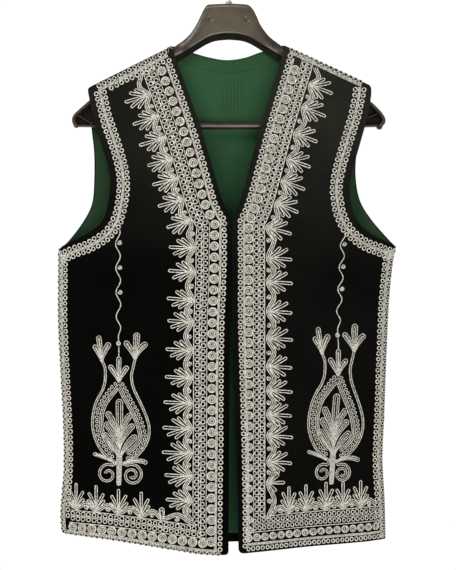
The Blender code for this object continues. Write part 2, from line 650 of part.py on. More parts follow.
def motif_shapes(side):
    """The vase with its spray, the tulips, the scrolls below and the vine above. Returns shapes and holes."""
    vase = VASES[side]
    x, foot = vase.x + vase.lean, vase.bottom
    shapes = [drop_outline(vase, 0.0)]
    holes = [drop_outline(vase, DROP_BAND)]
    for way in (-1, 1):
        tulip = np.array([vase.x + way * vase.tulip_side, vase.top + vase.tulip_drop])
        shapes.append(palmette(tulip, 90.0, 33.0, 3, 40.0, 7.0))
        stem = [tulip + (0, 2), (vase.x + way * vase.stem_side, vase.top - 4.0),
                (vase.x + way * vase.half_width * 0.62, vase.top - 42.0)]
        shapes.append(stroke(curve_through(stem, 4), CORD_WIDTH))
        leaf = [(x + way * 6.0, foot + 2.0), (x + way * 22.0, foot + 4.0), (x + way * 36.0, foot + 9.0)]
        shapes.append(stroke(leaf, 5.0))
        scroll = arc((x + way * 15.0, foot - 13.0), 7.5, 90.0, 90.0 - way * 290.0, 9)
        shapes.append(stroke(np.vstack([(x, foot - 3.0), scroll]), 4.0))
    shapes.append(palmette(np.array([vase.x, vase.top + 1.0]), 90.0, 34.0, 3, 42.0, 7.0))
    shapes.append(stroke([(x, foot + 6.0), (x, foot - 14.0), (x, foot - 20.0)], 6.0))
    vine_z = np.linspace(vase.top + 30.0, vase.top + 176.0, 11)
    vine = [(vase.x + 2.6 * math.sin((z - vase.top) / 9.0), z) for z in vine_z]
    shapes.append(stroke(vine, CORD_WIDTH))
    return shapes, holes


def spray_shape(side):
    """The seven-fingered spray that stands inside the vase."""
    vase = VASES[side]
    return palmette(np.array([vase.x + vase.lean, vase.bottom + 30.0]), 90.0, vase.half_width * 1.22, 7, 40.0, 5.0)


def hanger_section(station):
    """Points round a hanger section: a rounded top flange over a thinner web."""
    top, bottom = station.z_top, station.z_bottom
    wide, web = station.half_depth, station.half_web
    height = top - bottom
    flange = min(9.0, height * 0.4)
    half = [(wide * 0.55, top), (wide, top - flange * 0.4), (wide, top - flange),
            (web, top - flange - 1.5), (web, bottom + height * 0.12), (web * 0.6, bottom)]
    return [(station.x, y, z) for y, z in half + [(-y, z) for y, z in half[::-1]]]


def hanger_body(collection, material):
    """Half of the moulded body, from the middle to the tip of one arm, and its mirror image."""
    mesh = bmesh.new()
    rings = [[mesh.verts.new(p) for p in hanger_section(station)] for station in HANGER]
    for first, second in zip(rings, rings[1:]):
        for k in range(len(first)):
            n = (k + 1) % len(first)
            mesh.faces.new([first[k], first[n], second[n], second[k]])
    mesh.faces.new(rings[-1])
    bmesh.ops.recalc_face_normals(mesh, faces=mesh.faces)
    if sum(f.normal.x * f.calc_area() for f in mesh.faces) < 0:
        bmesh.ops.reverse_faces(mesh, faces=mesh.faces)
    obj = new_object("hanger_body", mesh_from(mesh, "hanger_body"), collection, material)
    mirror = obj.modifiers.new("other arm", "MIRROR")
    mirror.use_axis = (True, False, False)
    mirror.merge_threshold = 0.0001
    return obj


def trouser_bar(collection, material):
    bpy.ops.mesh.primitive_cylinder_add(vertices=16, radius=BAR_RADIUS * MM, depth=2 * BAR_HALF_LENGTH * MM,
                                        location=(0.0, 0.0, BAR_Z * MM), rotation=(0.0, math.pi / 2, 0.0))
    bar = bpy.context.object
    bar.name = "trouser_bar"
    bar.data.name = "trouser_bar"
    bar.data.shade_smooth()
    bar.data.set_sharp_from_angle(angle=math.radians(50))
    bar.data.materials.append(material)
    for old in bar.users_collection:
        old.objects.unlink(bar)
    collection.objects.link(bar)
    return bar


def hanger_hook(collection, material):
    """The wire hook: a collar on the plate, the shank and the open loop over the rail."""
    foot = PLATE_TOP_Z + 0.3
    centre = -HOOK_RADIUS + WIRE_RADIUS
    rows = [(0.0, foot, 2.3), (0.0, foot + 4.0, 2.3), (0.0, foot + 4.4, 1.0), (0.6, foot + 7.0, 1.0),
            (4.5, foot + 9.5, 1.0)]
    loop = arc((0.0, centre), HOOK_RADIUS, -60.0, 200.0, 17)
    rows += [(x, z, 1.0) for x, z in loop] + [(loop[-1][0] - 0.3, loop[-1][1] - 2.5, 1.35)]
    curve = bpy.data.curves.new("hanger_hook", "CURVE")
    curve.dimensions = "3D"
    curve.bevel_depth = WIRE_RADIUS * MM
    curve.bevel_resolution = 2
    curve.use_fill_caps = True
    spline = curve.splines.new("POLY")
    spline.points.add(len(rows) - 1)
    for point, (x, z, radius) in zip(spline.points, rows):
        point.co = (x * MM, 0.0, z * MM, 1.0)
        point.radius = radius
    curve.materials.append(material)
    hook = bpy.data.objects.new("hanger_hook", curve)
    collection.objects.link(hook)
    return hook


def surface(name, colour, roughness, metallic=0.0, sheen=0.0):
    material = bpy.data.materials.new(name)
    material.use_nodes = True
    shader = material.node_tree.nodes["Principled BSDF"]
    shader.inputs["Base Color"].default_value = (*colour, 1.0)
    shader.inputs["Roughness"].default_value = roughness
    shader.inputs["Metallic"].default_value = metallic
    shader.inputs["Sheen Weight"].default_value = sheen
    return material


def clear_scene():
    for obj in list(bpy.data.objects):
        bpy.data.objects.remove(obj, do_unlink=True)


def main():
    clear_scene()
    collection = bpy.data.collections.new("embroidered_folk_vest")
    bpy.context.scene.collection.children.link(collection)
    for side, name in ((-1, "right"), (1, "left")):
        grid = front_grid(side)
        cloth(f"front_{name}", grid, moved_out(grid, -VELVET), collection,
              surface(f"velvet_front_{name}", (0.008, 0.009, 0.007), 0.85, sheen=0.4))
        shapes = border_shapes(side, grid)
        embroidery(f"border_cords_{name}", shapes, [], grid, collection,
                   surface(f"border_cord_{name}", (0.62, 0.59, 0.5), 0.45))
        shapes, holes = motif_shapes(side)
        embroidery(f"vase_cords_{name}", shapes, holes, grid, collection,
                   surface(f"vase_cord_{name}", (0.62, 0.59, 0.5), 0.45))
        embroidery(f"spray_cords_{name}", [spray_shape(side)], [], grid, collection,
                   surface(f"spray_cord_{name}", (0.62, 0.59, 0.5), 0.45))
    grid = back_grid()
    cloth("back", grid, moved_out(grid, -VELVET), collection,
          surface("velvet_back", (0.008, 0.009, 0.007), 0.85, sheen=0.4))
    cloth("back_lining", *lining_grids(grid), collection, surface("lining", (0.02, 0.12, 0.05), 0.4))
    hanger_body(collection, surface("hanger_plastic", (0.035, 0.031, 0.025), 0.25))
    trouser_bar(collection, surface("bar_plastic", (0.025, 0.024, 0.02), 0.3))
    hanger_hook(collection, surface("hook_steel", (0.6, 0.6, 0.6), 0.25, metallic=1.0))


main()
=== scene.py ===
"""Looks of the embroidered folk vest on its hanger.

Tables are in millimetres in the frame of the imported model: +Z up, the front faces -Y, and the wearer's right
front lies at -X. Sides are -1 for the right and 1 for the left. Work on a panel is placed by its flat
coordinates: u runs round the body from the middle, and z is the height.
"""

import math
from collections import namedtuple

import bmesh
import bpy
import numpy as np
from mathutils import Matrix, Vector


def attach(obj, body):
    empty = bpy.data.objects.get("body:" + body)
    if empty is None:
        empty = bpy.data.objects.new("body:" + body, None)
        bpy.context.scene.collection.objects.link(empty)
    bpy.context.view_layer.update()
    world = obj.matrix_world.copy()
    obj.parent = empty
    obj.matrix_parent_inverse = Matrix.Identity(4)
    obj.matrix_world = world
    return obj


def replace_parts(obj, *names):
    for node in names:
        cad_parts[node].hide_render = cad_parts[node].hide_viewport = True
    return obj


MM = 0.001
rng = np.random.default_rng(11)

# Cloth, as in the solids
VELVET = 2.0
LINING = 1.0
LINING_GAP = 0.45
SEAM_Y = 0.25
SEAM_TURN = 3.0
FRONT_DEPTH = 34.0
BACK_DEPTH = 30.0
SHOULDER_DEPTH = 18.0
SHOULDER_ROUND = 16.0
SHOULDER_TO_CHEST = 240.0
SECTION_POWER = 2.1
ARMHOLE_SPREAD = 0.35
NECK_WIDTH = 78.0
LINING_HEM = 13.0
CORNER = 8.0
NECK_CORNER = 3.5
TIP_CORNER = 6.0

# How light the velvet and the cords are painted. The velvet's tones are painted light: low is its factor low
# down and high its factor at the shoulders, stronger on the left front. The cords' factors are painted shade,
# darker on the left front;
# the motif cords are darker than the border's.
PaintedLight = namedtuple("PaintedLight", "low high")
VELVET_PAINTED_LIGHT = {-1: PaintedLight(0.2, 3.4), 1: PaintedLight(0.7, 4.4)}
BACK_PAINTED_LIGHT = PaintedLight(0.8, 2.4)
CORD_SHADE = {-1: 0.95, 1: 0.86}
MOTIF_TONE = 0.8

# Camera, as the photograph was taken
CAMERA_Y = -2240.0
CAMERA_X = -1.3
CAMERA_Z = -453.6
LENS = 99.25

Spot = namedtuple("Spot", "x z")
Fold = namedtuple("Fold", "x_top x_hem z_top z_full width depth")
Crease = namedtuple("Crease", "x z x_end z_end width depth")
Roll = namedtuple("Roll", "height angle")
EdgeRows = namedtuple("EdgeRows", "ring braid rosette line ring_a ring_b line_b valley bulge disc root")

SIDE_SEAM = {
    -1: [Spot(-237.6, -806.0), Spot(-239.0, -774.0), Spot(-234.4, -712.0), Spot(-235.4, -646.0),
         Spot(-239.0, -580.0), Spot(-242.5, -505.0), Spot(-242.4, -445.0), Spot(-242.2, -402.4)],
    1: [Spot(222.9, -814.0), Spot(221.6, -760.0), Spot(218.6, -700.0), Spot(221.0, -640.0),
        Spot(224.4, -550.0), Spot(228.0, -475.0), Spot(233.0, -425.0), Spot(237.5, -398.4)],
}
FRONT_ARMHOLE = {
    -1: [Spot(-242.2, -402.4), Spot(-220.9, -391.0), Spot(-194.0, -377.5), Spot(-175.5, -358.0),
         Spot(-167.6, -320.0), Spot(-169.6, -290.0), Spot(-179.9, -255.0), Spot(-190.8, -221.0),
         Spot(-200.9, -173.0)],
    1: [Spot(237.5, -398.4), Spot(216.6, -389.0), Spot(192.5, -376.0), Spot(177.0, -356.0),
        Spot(170.0, -324.0), Spot(173.4, -295.0), Spot(184.0, -258.0), Spot(194.4, -221.0),
        Spot(200.6, -190.0), Spot(201.8, -169.5)],
}
BACK_ARMHOLE = {
    -1: [Spot(-242.2, -402.4), Spot(-228.5, -388.9), Spot(-208.0, -360.5), Spot(-196.5, -335.0),
         Spot(-193.6, -300.0), Spot(-193.8, -262.0), Spot(-197.6, -225.0), Spot(-200.9, -173.0)],
    1: [Spot(237.5, -398.4), Spot(229.0, -388.5), Spot(205.1, -360.1), Spot(188.5, -332.0),
        Spot(182.3, -297.0), Spot(184.0, -262.0), Spot(192.1, -227.0), Spot(201.8, -169.5)],
}
FRONT_EDGE = {
    -1: [Spot(-0.7, -833.5), Spot(-0.3, -727.0), Spot(0.2, -643.0), Spot(0.8, -517.0),
         Spot(3.6, -440.0), Spot(3.9, -361.0)],
    1: [Spot(13.6, -831.0), Spot(12.0, -727.0), Spot(9.6, -643.0), Spot(5.3, -517.0),
        Spot(4.9, -440.0), Spot(4.9, -361.0)],
}
# Where the inner rows of the border are measured from: the left front's edge swings out below them.
BORDER_LINE = {-1: FRONT_EDGE[-1], 1: [Spot(5.3, -832.0), Spot(5.3, -643.0), Spot(5.0, -440.0),
                                       Spot(4.9, -361.0)]}
FRONT_NECK = {
    -1: [Spot(3.9, -361.0), Spot(-9.6, -334.3), Spot(-24.5, -283.7), Spot(-39.9, -232.6),
         Spot(-59.6, -177.0), Spot(-75.8, -132.1), Spot(-80.4, -112.9)],
    1: [Spot(4.9, -361.0), Spot(16.2, -334.3), Spot(30.3, -283.7), Spot(44.0, -232.6),
        Spot(59.8, -179.9), Spot(74.5, -132.1), Spot(77.1, -111.6)],
}
BACK_NECK = [Spot(-80.4, -112.9), Spot(-56.6, -118.8), Spot(-27.9, -126.7), Spot(-2.0, -130.3),
             Spot(23.8, -126.7), Spot(46.8, -118.8), Spot(77.1, -111.6)]
FRONT_HEM = {
    -1: [Spot(-0.7, -833.5), Spot(-37.0, -831.9), Spot(-86.1, -824.9), Spot(-177.2, -811.5),
         Spot(-239.0, -806.0)],
    1: [Spot(13.6, -831.0), Spot(42.8, -828.2), Spot(121.3, -820.8), Spot(222.9, -814.0)],
}
BACK_HEM = [Spot(-239.0, -806.0), Spot(-150.0, -817.0), Spot(-2.0, -824.0), Spot(130.0, -820.0),
            Spot(222.9, -814.0)]
FRONT_FOLDS = {
    -1: [Fold(-196.0, -205.0, -420.0, -620.0, 26.0, 2.5), Fold(-120.0, -112.0, -330.0, -480.0, 34.0, -2.0)],
    1: [Fold(190.0, 196.0, -410.0, -600.0, 24.0, 2.5), Fold(118.0, 110.0, -320.0, -470.0, 32.0, -2.0)],
}
BACK_FOLDS = [Fold(-110.0, -150.0, -260.0, -640.0, 34.0, 5.0), Fold(-20.0, -30.0, -340.0, -700.0, 40.0, -4.0),
              Fold(95.0, 120.0, -250.0, -620.0, 36.0, 5.0)]

# Soft creases, placed one by one. Depth is the height of the ridge, negative for a trough.
FRONT_CREASES = {
    -1: [Crease(-226.0, -412.0, -150.0, -452.0, 9.0, 0.9), Crease(-214.0, -436.0, -165.0, -486.0, 11.0, -0.8),
         Crease(-182.0, -300.0, -140.0, -250.0, 10.0, 0.7),
         Crease(-224.0, -560.0, -208.0, -660.0, 9.0, -0.8)],
    1: [Crease(222.0, -408.0, 152.0, -446.0, 9.0, 0.9), Crease(212.0, -430.0, 166.0, -478.0, 11.0, -0.8),
        Crease(184.0, -296.0, 146.0, -244.0, 10.0, 0.7), Crease(209.0, -556.0, 196.0, -664.0, 9.0, -0.8)],
}
BACK_CREASES = [
    Crease(-214.0, -412.0, -120.0, -470.0, 12.0, 1.6), Crease(212.0, -410.0, 126.0, -462.0, 12.0, 1.6),
    Crease(-150.0, -196.0, -84.0, -262.0, 14.0, 1.3), Crease(150.0, -192.0, 92.0, -256.0, 14.0, 1.3),
    Crease(-62.0, -300.0, -84.0, -520.0, 12.0, -1.4), Crease(58.0, -290.0, 74.0, -500.0, 13.0, -1.4),
    Crease(-178.0, -520.0, -196.0, -760.0, 13.0, 1.8), Crease(166.0, -510.0, 186.0, -740.0, 14.0, 1.8),
    Crease(16.0, -420.0, 30.0, -690.0, 15.0, 1.5), Crease(-66.0, -600.0, -60.0, -800.0, 13.0, 1.5),
]
LINING_CREASES = [
    Crease(-36.0, -140.0, 20.0, -143.0, 3.2, 0.9), Crease(-8.0, -151.0, 34.0, -149.0, 3.6, 0.8),
    Crease(-52.0, -158.0, -14.0, -163.0, 4.0, 0.7), Crease(22.0, -170.0, 58.0, -166.0, 4.4, 0.7),
    Crease(-30.0, -246.0, -22.0, -330.0, 6.0, 1.4), Crease(12.0, -240.0, 4.0, -352.0, 6.5, 1.3),
    Crease(-12.0, -262.0, 10.0, -300.0, 6.0, -1.0), Crease(-184.0, -210.0, -170.0, -330.0, 6.0, 1.2),
    Crease(180.0, -210.0, 166.0, -330.0, 6.0, 1.2), Crease(-216.0, -366.0, -170.0, -372.0, 5.0, 1.0),
    Crease(2.0, -430.0, 4.0, -640.0, 4.0, 1.3), Crease(-3.0, -640.0, 7.0, -800.0, 4.5, 1.4),
    Crease(9.0, -520.0, 12.0, -760.0, 4.0, -0.9), Crease(-120.0, -420.0, -130.0, -700.0, 9.0, 1.6),
    Crease(110.0, -430.0, 124.0, -720.0, 9.0, 1.6),
]

# How far the hem rolls under: the height of the bend, and the slope at the very edge.
FRONT_ROLL = {-1: Roll(12.0, 1.0), 1: Roll(10.0, 0.3)}

# Rows of the border up the front edge: how far each lies in from the cloth's edge.
FRONT_ROWS = {
    -1: EdgeRows(10.4, 16.0, 24.2, 31.5, 36.5, 44.9, 49.9, 53.8, 61.6, 55.8, 52.0),
    1: EdgeRows(11.2, 16.4, 22.9, 29.2, 33.7, 40.9, 45.0, 49.9, 58.3, 51.2, 48.8),
}
# The same rows along the hem: heights above the hem at its front end, and at its side end.
HEM_ROWS = {
    -1: (EdgeRows(3.6, 8.8, 19.2, 26.4, 30.4, 38.4, 42.6, 46.4, 54.4, 48.4, 44.4),
         EdgeRows(3.6, 7.4, 13.2, 19.2, 25.6, 32.6, 36.8, 40.4, 47.6, 42.8, 39.4)),
    1: (EdgeRows(6.4, 12.6, 21.4, 29.0, 34.2, 44.8, 49.8, 53.6, 60.6, 54.8, 52.4),
        EdgeRows(6.0, 11.8, 20.6, 28.2, 33.6, 43.8, 48.6, 52.2, 58.6, 53.4, 50.8)),
}
# How far the outermost rows shift in: at the hem, at half height and at the shoulder
EDGE_SHIFT = {-1: (1.6, 0.2, -0.9), 1: (-1.7, 0.0, 0.0)}
RING_PITCH = {-1: 8.2, 1: 7.9}
ROSETTE = {-1: (15.2, (6.8, 6.8)), 1: (14.7, (5.7, 7.0))}
HEM_PITCH = {-1: (7.9, 13.9, 6.9), 1: (6.6, 11.6, 5.6)}

# Tips of the palmettes up each front edge: their heights.
EDGE_PALMETTE_Z = {
    -1: [-756.0, -721.7, -689.7, -655.2, -619.5, -583.9, -545.1, -504.9, -473.6, -434.8, -401.8, -374.0,
         -344.9, -314.5, -287.5, -258.0, -228.6, -197.2],
    1: [-731.2, -701.6, -665.3, -635.2, -601.6, -567.9, -528.6, -490.6, -449.4, -415.8, -379.8, -350.3,
        -317.7, -286.6, -250.8, -214.0, -181.8],
}
# Palmettes that are larger than their neighbours, counted from the hem
LARGE_PALMETTES = {-1: {1: 1.08, 2: 1.14, 3: 1.12, 4: 1.06}, 1: {}}
HEM_PALMETTE_X = {-1: [-120.5, -152.6, -184.9, -214.3], 1: [83.4, 107.5, 135.9, 160.0, 185.0]}
SINGLE_LEAF_X = {-1: -92.5, 1: None}
# Fingers of a palmette: how far the tip lies along the rib, and to its upper side.
PALMETTE = {
    -1: [(18.2, 13.4), (25.8, 10.6), (36.2, 0.0), (29.4, -9.6), (20.6, -13.4)],
    1: [(18.5, 15.0), (27.6, 12.6), (34.5, -2.4), (24.4, -12.6), (16.2, -15.0)],
}
SMALL_PALMETTE = [(15.5, 12.0), (24.0, 0.6), (12.5, -11.6)]
HEM_PALMETTE = {
    -1: [(14.8, 12.4), (25.0, 10.6), (35.4, 0.0), (25.0, -10.6), (14.8, -12.4)],
    1: [(16.4, 11.0), (26.6, 9.4), (37.0, 0.0), (26.6, -9.4), (16.4, -11.0)],
}

# Loose ends of cord at the right neck point
TUFT = [
    [Spot(-89.0, -126.0), Spot(-88.0, -121.0), Spot(-86.0, -117.4), Spot(-82.6, -115.4), Spot(-79.4, -117.0)],
    [Spot(-86.0, -126.0), Spot(-84.4, -119.6), Spot(-82.0, -118.2), Spot(-79.6, -120.4)],
]

# The vase motif, from the point where its two arms meet: x to the right, z up.
Vase = namedtuple("Vase", "x z wide tall vine_x vine_z")
VASE = {-1: Vase(-154.4, -590.7, 1.0, 1.0, -156.2, -375.5),
        1: Vase(153.1, -582.0, 0.967, 1.05, 160.9, -379.0)}
VASE_LEAN = {
    -1: [(-147.0, 0.0), (60.0, 0.0)],
    1: [(-147.0, -9.0), (-75.0, -6.2), (0.0, 0.4), (38.0, 1.3), (60.0, 0.0)],
}
SCROLL_SPREAD = {-1: 1.0, 1: 0.82}
VASE_RINGS = {
    -1: [(-3.5, 0.5), (-9.7, -6.0), (-17.0, -15.4), (-25.0, -26.5), (-29.8, -38.7), (-31.6, -50.0),
         (-31.6, -62.0), (-29.4, -74.0), (-24.4, -85.0), (-17.4, -96.0), (-7.5, -106.0)],
    1: [(3.5, 0.5), (7.6, -6.4), (13.3, -18.0), (20.5, -30.8), (27.1, -43.5), (32.4, -56.6), (36.0, -70.9),
        (36.2, -80.0), (31.0, -90.0), (22.0, -99.0), (9.5, -108.0)],
}
VASE_STEMS = {
    -1: [(-24.1, 31.0), (-20.0, 20.9), (-19.4, 12.9), (-20.0, 0.8), (-23.6, -11.2), (-29.5, -21.7),
         (-34.2, -33.4), (-36.9, -47.0), (-37.6, -60.0), (-36.0, -71.0), (-32.2, -82.6), (-27.0, -92.8),
         (-20.0, -101.5), (-12.0, -108.0), (-2.0, -114.0)],
    1: [(22.6, 33.5), (19.8, 20.9), (17.9, 12.9), (17.7, 4.8), (19.6, -5.6), (23.6, -15.4), (28.8, -26.0),
        (34.0, -37.0), (39.4, -50.5), (42.2, -62.0), (42.2, -74.0), (38.6, -85.4), (32.4, -95.2),
        (24.1, -103.9), (15.0, -109.6), (4.0, -114.5)],
}
# Fingers: root, tip and width. Each is a double loop of cord.
Finger = namedtuple("Finger", "x z x_tip z_tip width bend")
SPRAY = [
    Finger(0.6, -96.0, 0.4, -23.6, 10.6, 0.0), Finger(0.3, -80.0, -17.0, -41.6, 9.4, -1.5),
    Finger(0.3, -93.0, -19.3, -56.2, 9.6, -2.0), Finger(0.0, -106.0, -21.9, -71.8, 9.6, -2.0),
    Finger(0.6, -80.0, 16.8, -43.8, 9.2, 2.5), Finger(0.8, -93.0, 20.4, -59.2, 9.4, 3.0),
    Finger(1.0, -106.0, 24.4, -75.0, 9.6, 2.5),
]
TULIPS = [
    Finger(-24.1, 28.7, -35.4, 52.3, 7.6, -1.0), Finger(-24.1, 28.7, -13.2, 55.4, 8.4, 2.0),
    Finger(-24.1, 28.7, -29.0, 65.6, 7.6, 0.0), Finger(22.6, 31.9, 8.2, 57.8, 8.4, -1.5),
    Finger(22.6, 31.9, 39.2, 55.4, 8.8, 2.5), Finger(22.6, 31.9, 25.3, 69.8, 9.6, 0.0),
    Finger(0.0, 0.0, -13.5, 24.0, 7.8, -1.0), Finger(0.0, 0.0, 12.4, 22.5, 7.8, 1.5),
    Finger(0.0, 0.0, -0.4, 36.0, 7.6, 0.0),
]
LEAVES = [Finger(-8.0, -112.0, -36.4, -100.6, 5.4, -1.0), Finger(5.0, -114.5, 39.4, -113.0, 6.6, 4.0)]
Scroll = namedtuple("Scroll", "x z outer inner way turns")
SCROLLS = [Scroll(-16.0, -129.2, 14.8, 3.2, -1, 1.3), Scroll(18.4, -130.0, 15.6, 2.8, 1, 1.75)]

# The moulded hanger, as distance out and height. The lip is the lower edge of its raised face.
HANGER_TOP = {
    -1: [Spot(0.0, -53.3), Spot(26.0, -54.6), Spot(31.0, -55.8), Spot(34.0, -59.0), Spot(38.5, -67.5),
         Spot(43.5, -78.0), Spot(49.1, -88.1), Spot(55.5, -97.0), Spot(64.0, -105.0), Spot(75.1, -112.6),
         Spot(86.0, -121.8), Spot(100.0, -130.5), Spot(125.0, -143.5), Spot(150.0, -157.0),
         Spot(187.0, -181.0)],
    1: [Spot(0.0, -53.3), Spot(22.0, -54.4), Spot(28.0, -55.8), Spot(32.0, -59.0), Spot(36.0, -64.6),
        Spot(40.5, -74.0), Spot(45.3, -84.4), Spot(54.6, -97.2), Spot(62.0, -104.0), Spot(71.3, -110.6),
        Spot(84.0, -120.6), Spot(100.0, -130.5), Spot(125.0, -143.5), Spot(150.0, -157.0),
        Spot(187.0, -181.0)],
}
HANGER_LIP = [Spot(0.0, -95.8), Spot(12.0, -96.6), Spot(30.0, -101.5), Spot(50.0, -114.0), Spot(75.0, -128.4),
              Spot(100.0, -143.0), Spot(150.0, -172.0), Spot(187.0, -195.0)]
HANGER_BOTTOM = [Spot(0.0, -103.0), Spot(16.0, -104.4), Spot(27.0, -107.4), Spot(38.0, -113.2),
                 Spot(58.0, -125.8),
                 Spot(77.0, -137.4), Spot(100.0, -151.0), Spot(150.0, -179.0), Spot(187.0, -201.0)]
HANGER_DEPTH = [Spot(0.0, 8.0), Spot(50.0, 8.0), Spot(68.0, 5.4), Spot(80.0, 6.4), Spot(100.0, 9.6),
                Spot(125.0, 11.0), Spot(150.0, 11.8), Spot(187.0, 12.4)]
DIMPLES = [Spot(-27.0, -75.1), Spot(25.1, -76.1)]
# The open ends of its arms, as distance out and height: the rim, the foot, the strut and the knob.
ARM_RIM = {
    -1: [Spot(180.0, -181.5), Spot(188.0, -186.6), Spot(199.0, -195.6), Spot(211.0, -206.2),
         Spot(218.0, -213.0),
         Spot(220.0, -219.4), Spot(217.4, -226.2)],
    1: [Spot(180.0, -181.5), Spot(188.0, -186.0), Spot(199.0, -194.4), Spot(209.0, -203.6),
        Spot(216.4, -212.2),
        Spot(219.6, -220.0), Spot(214.6, -227.4)],
}
ARM_FOOT = [Spot(215.0, -226.6), Spot(200.0, -226.8), Spot(184.0, -227.6)]
ARM_STRUT = {-1: [Spot(214.5, -212.0), Spot(194.5, -225.0)], 1: [Spot(213.0, -209.5), Spot(194.0, -216.6)]}
ARM_KNOB = {-1: Spot(194.5, -223.2), 1: Spot(214.0, -228.4)}


def smooth_step(value):
    value = np.clip(value, 0.0, 1.0)
    return value * value * (3.0 - 2.0 * value)


def curve_through(spots, per_span=12):
    """Points along a smooth curve through the table's points."""
    ends = [2 * np.array(spots[0]) - np.array(spots[1]), 2 * np.array(spots[-1]) - np.array(spots[-2])]
    knots = np.array([ends[0], *spots, ends[1]], float)
    steps = np.linspace(0.0, 1.0, per_span, endpoint=False)[:, None]
    pieces = []
    for a, b, c, d in zip(knots, knots[1:], knots[2:], knots[3:]):
        pieces.append(0.5 * (2 * b + (c - a) * steps + (2 * a - 5 * b + 4 * c - d) * steps**2
                             + (3 * b - 3 * c + d - a) * steps**3))
    return np.vstack([*pieces, knots[-2]])


def lengths_along(curve):
    return np.concatenate([[0.0], np.cumsum(np.linalg.norm(np.diff(curve, axis=0), axis=1))])


def along(curve, distances):
    """Points of a dense curve at given distances from its start."""
    lengths = lengths_along(curve)
    return np.column_stack([np.interp(distances, lengths, curve[:, k]) for k in range(curve.shape[1])])


def beside(line):
    """Unit vectors to the left of a line's run."""
    run = np.gradient(line, axis=0)
    run /= np.linalg.norm(run, axis=1)[:, None]
    return np.column_stack([-run[:, 1], run[:, 0]])


def evenly(curve, count):
    return along(curve, np.linspace(0.0, lengths_along(curve)[-1], count + 1))


def shoulder_height(x):
    """Height of the shoulder line, carried on past the neck."""
    out = np.sqrt(np.square(x) + 400.0)
    left = np.interp(out, [77.1, 201.8], [-111.6, -169.5]) + np.clip(77.1 - out, 0.0, None) * 0.48
    right = np.interp(out, [80.4, 200.9], [-112.9, -173.0]) + np.clip(80.4 - out, 0.0, None) * 0.53
    return np.where(np.asarray(x) < 0, right, left)


SIDE_CURVES = {side: curve_through(SIDE_SEAM[side]) for side in SIDE_SEAM}
HANGER_TOP_CURVE = {side: curve_through(HANGER_TOP[side]) for side in HANGER_TOP}
HANGER_CURVES = [curve_through(table) for table in (HANGER_LIP, HANGER_BOTTOM, HANGER_DEPTH)]


def half_width(x, z):
    """Half width of the body at a height, widening where the armholes open it."""
    side = {s: np.interp(z, c[:, 1], np.abs(c[:, 0])) for s, c in SIDE_CURVES.items()}
    width = np.where(np.asarray(x) < 0, side[-1], side[1])
    return width * (1.0 + ARMHOLE_SPREAD * smooth_step((np.asarray(z) + 402.0) / 200.0))


def fold_height(folds, x, z):
    total = np.zeros(np.broadcast(x, z).shape)
    for fold in folds:
        down = (fold.z_top - z) / (fold.z_top - fold.z_full)
        centre = fold.x_top + (fold.x_hem - fold.x_top) * np.clip((fold.z_top - z) / 480.0, 0.0, 1.0)
        total = total + fold.depth * smooth_step(down) * np.exp(-np.square((x - centre) / fold.width))
    return total


def crease_height(creases, x, z):
    """Soft ridges and troughs along short lines, fading out at their ends."""
    total = np.zeros(np.broadcast(x, z).shape)
    for crease in creases:
        run = np.array([crease.x_end - crease.x, crease.z_end - crease.z])
        length = np.linalg.norm(run)
        run = run / length
        along_it = ((x - crease.x) * run[0] + (z - crease.z) * run[1]) / length
        aside = (x - crease.x) * -run[1] + (z - crease.z) * run[0] + 3.0 * np.sin(along_it * 3.0)
        fade = smooth_step(along_it / 0.3) * smooth_step((1.0 - along_it) / 0.4)
        total = total + crease.depth * fade * np.exp(-np.square(aside / crease.width))
    return total


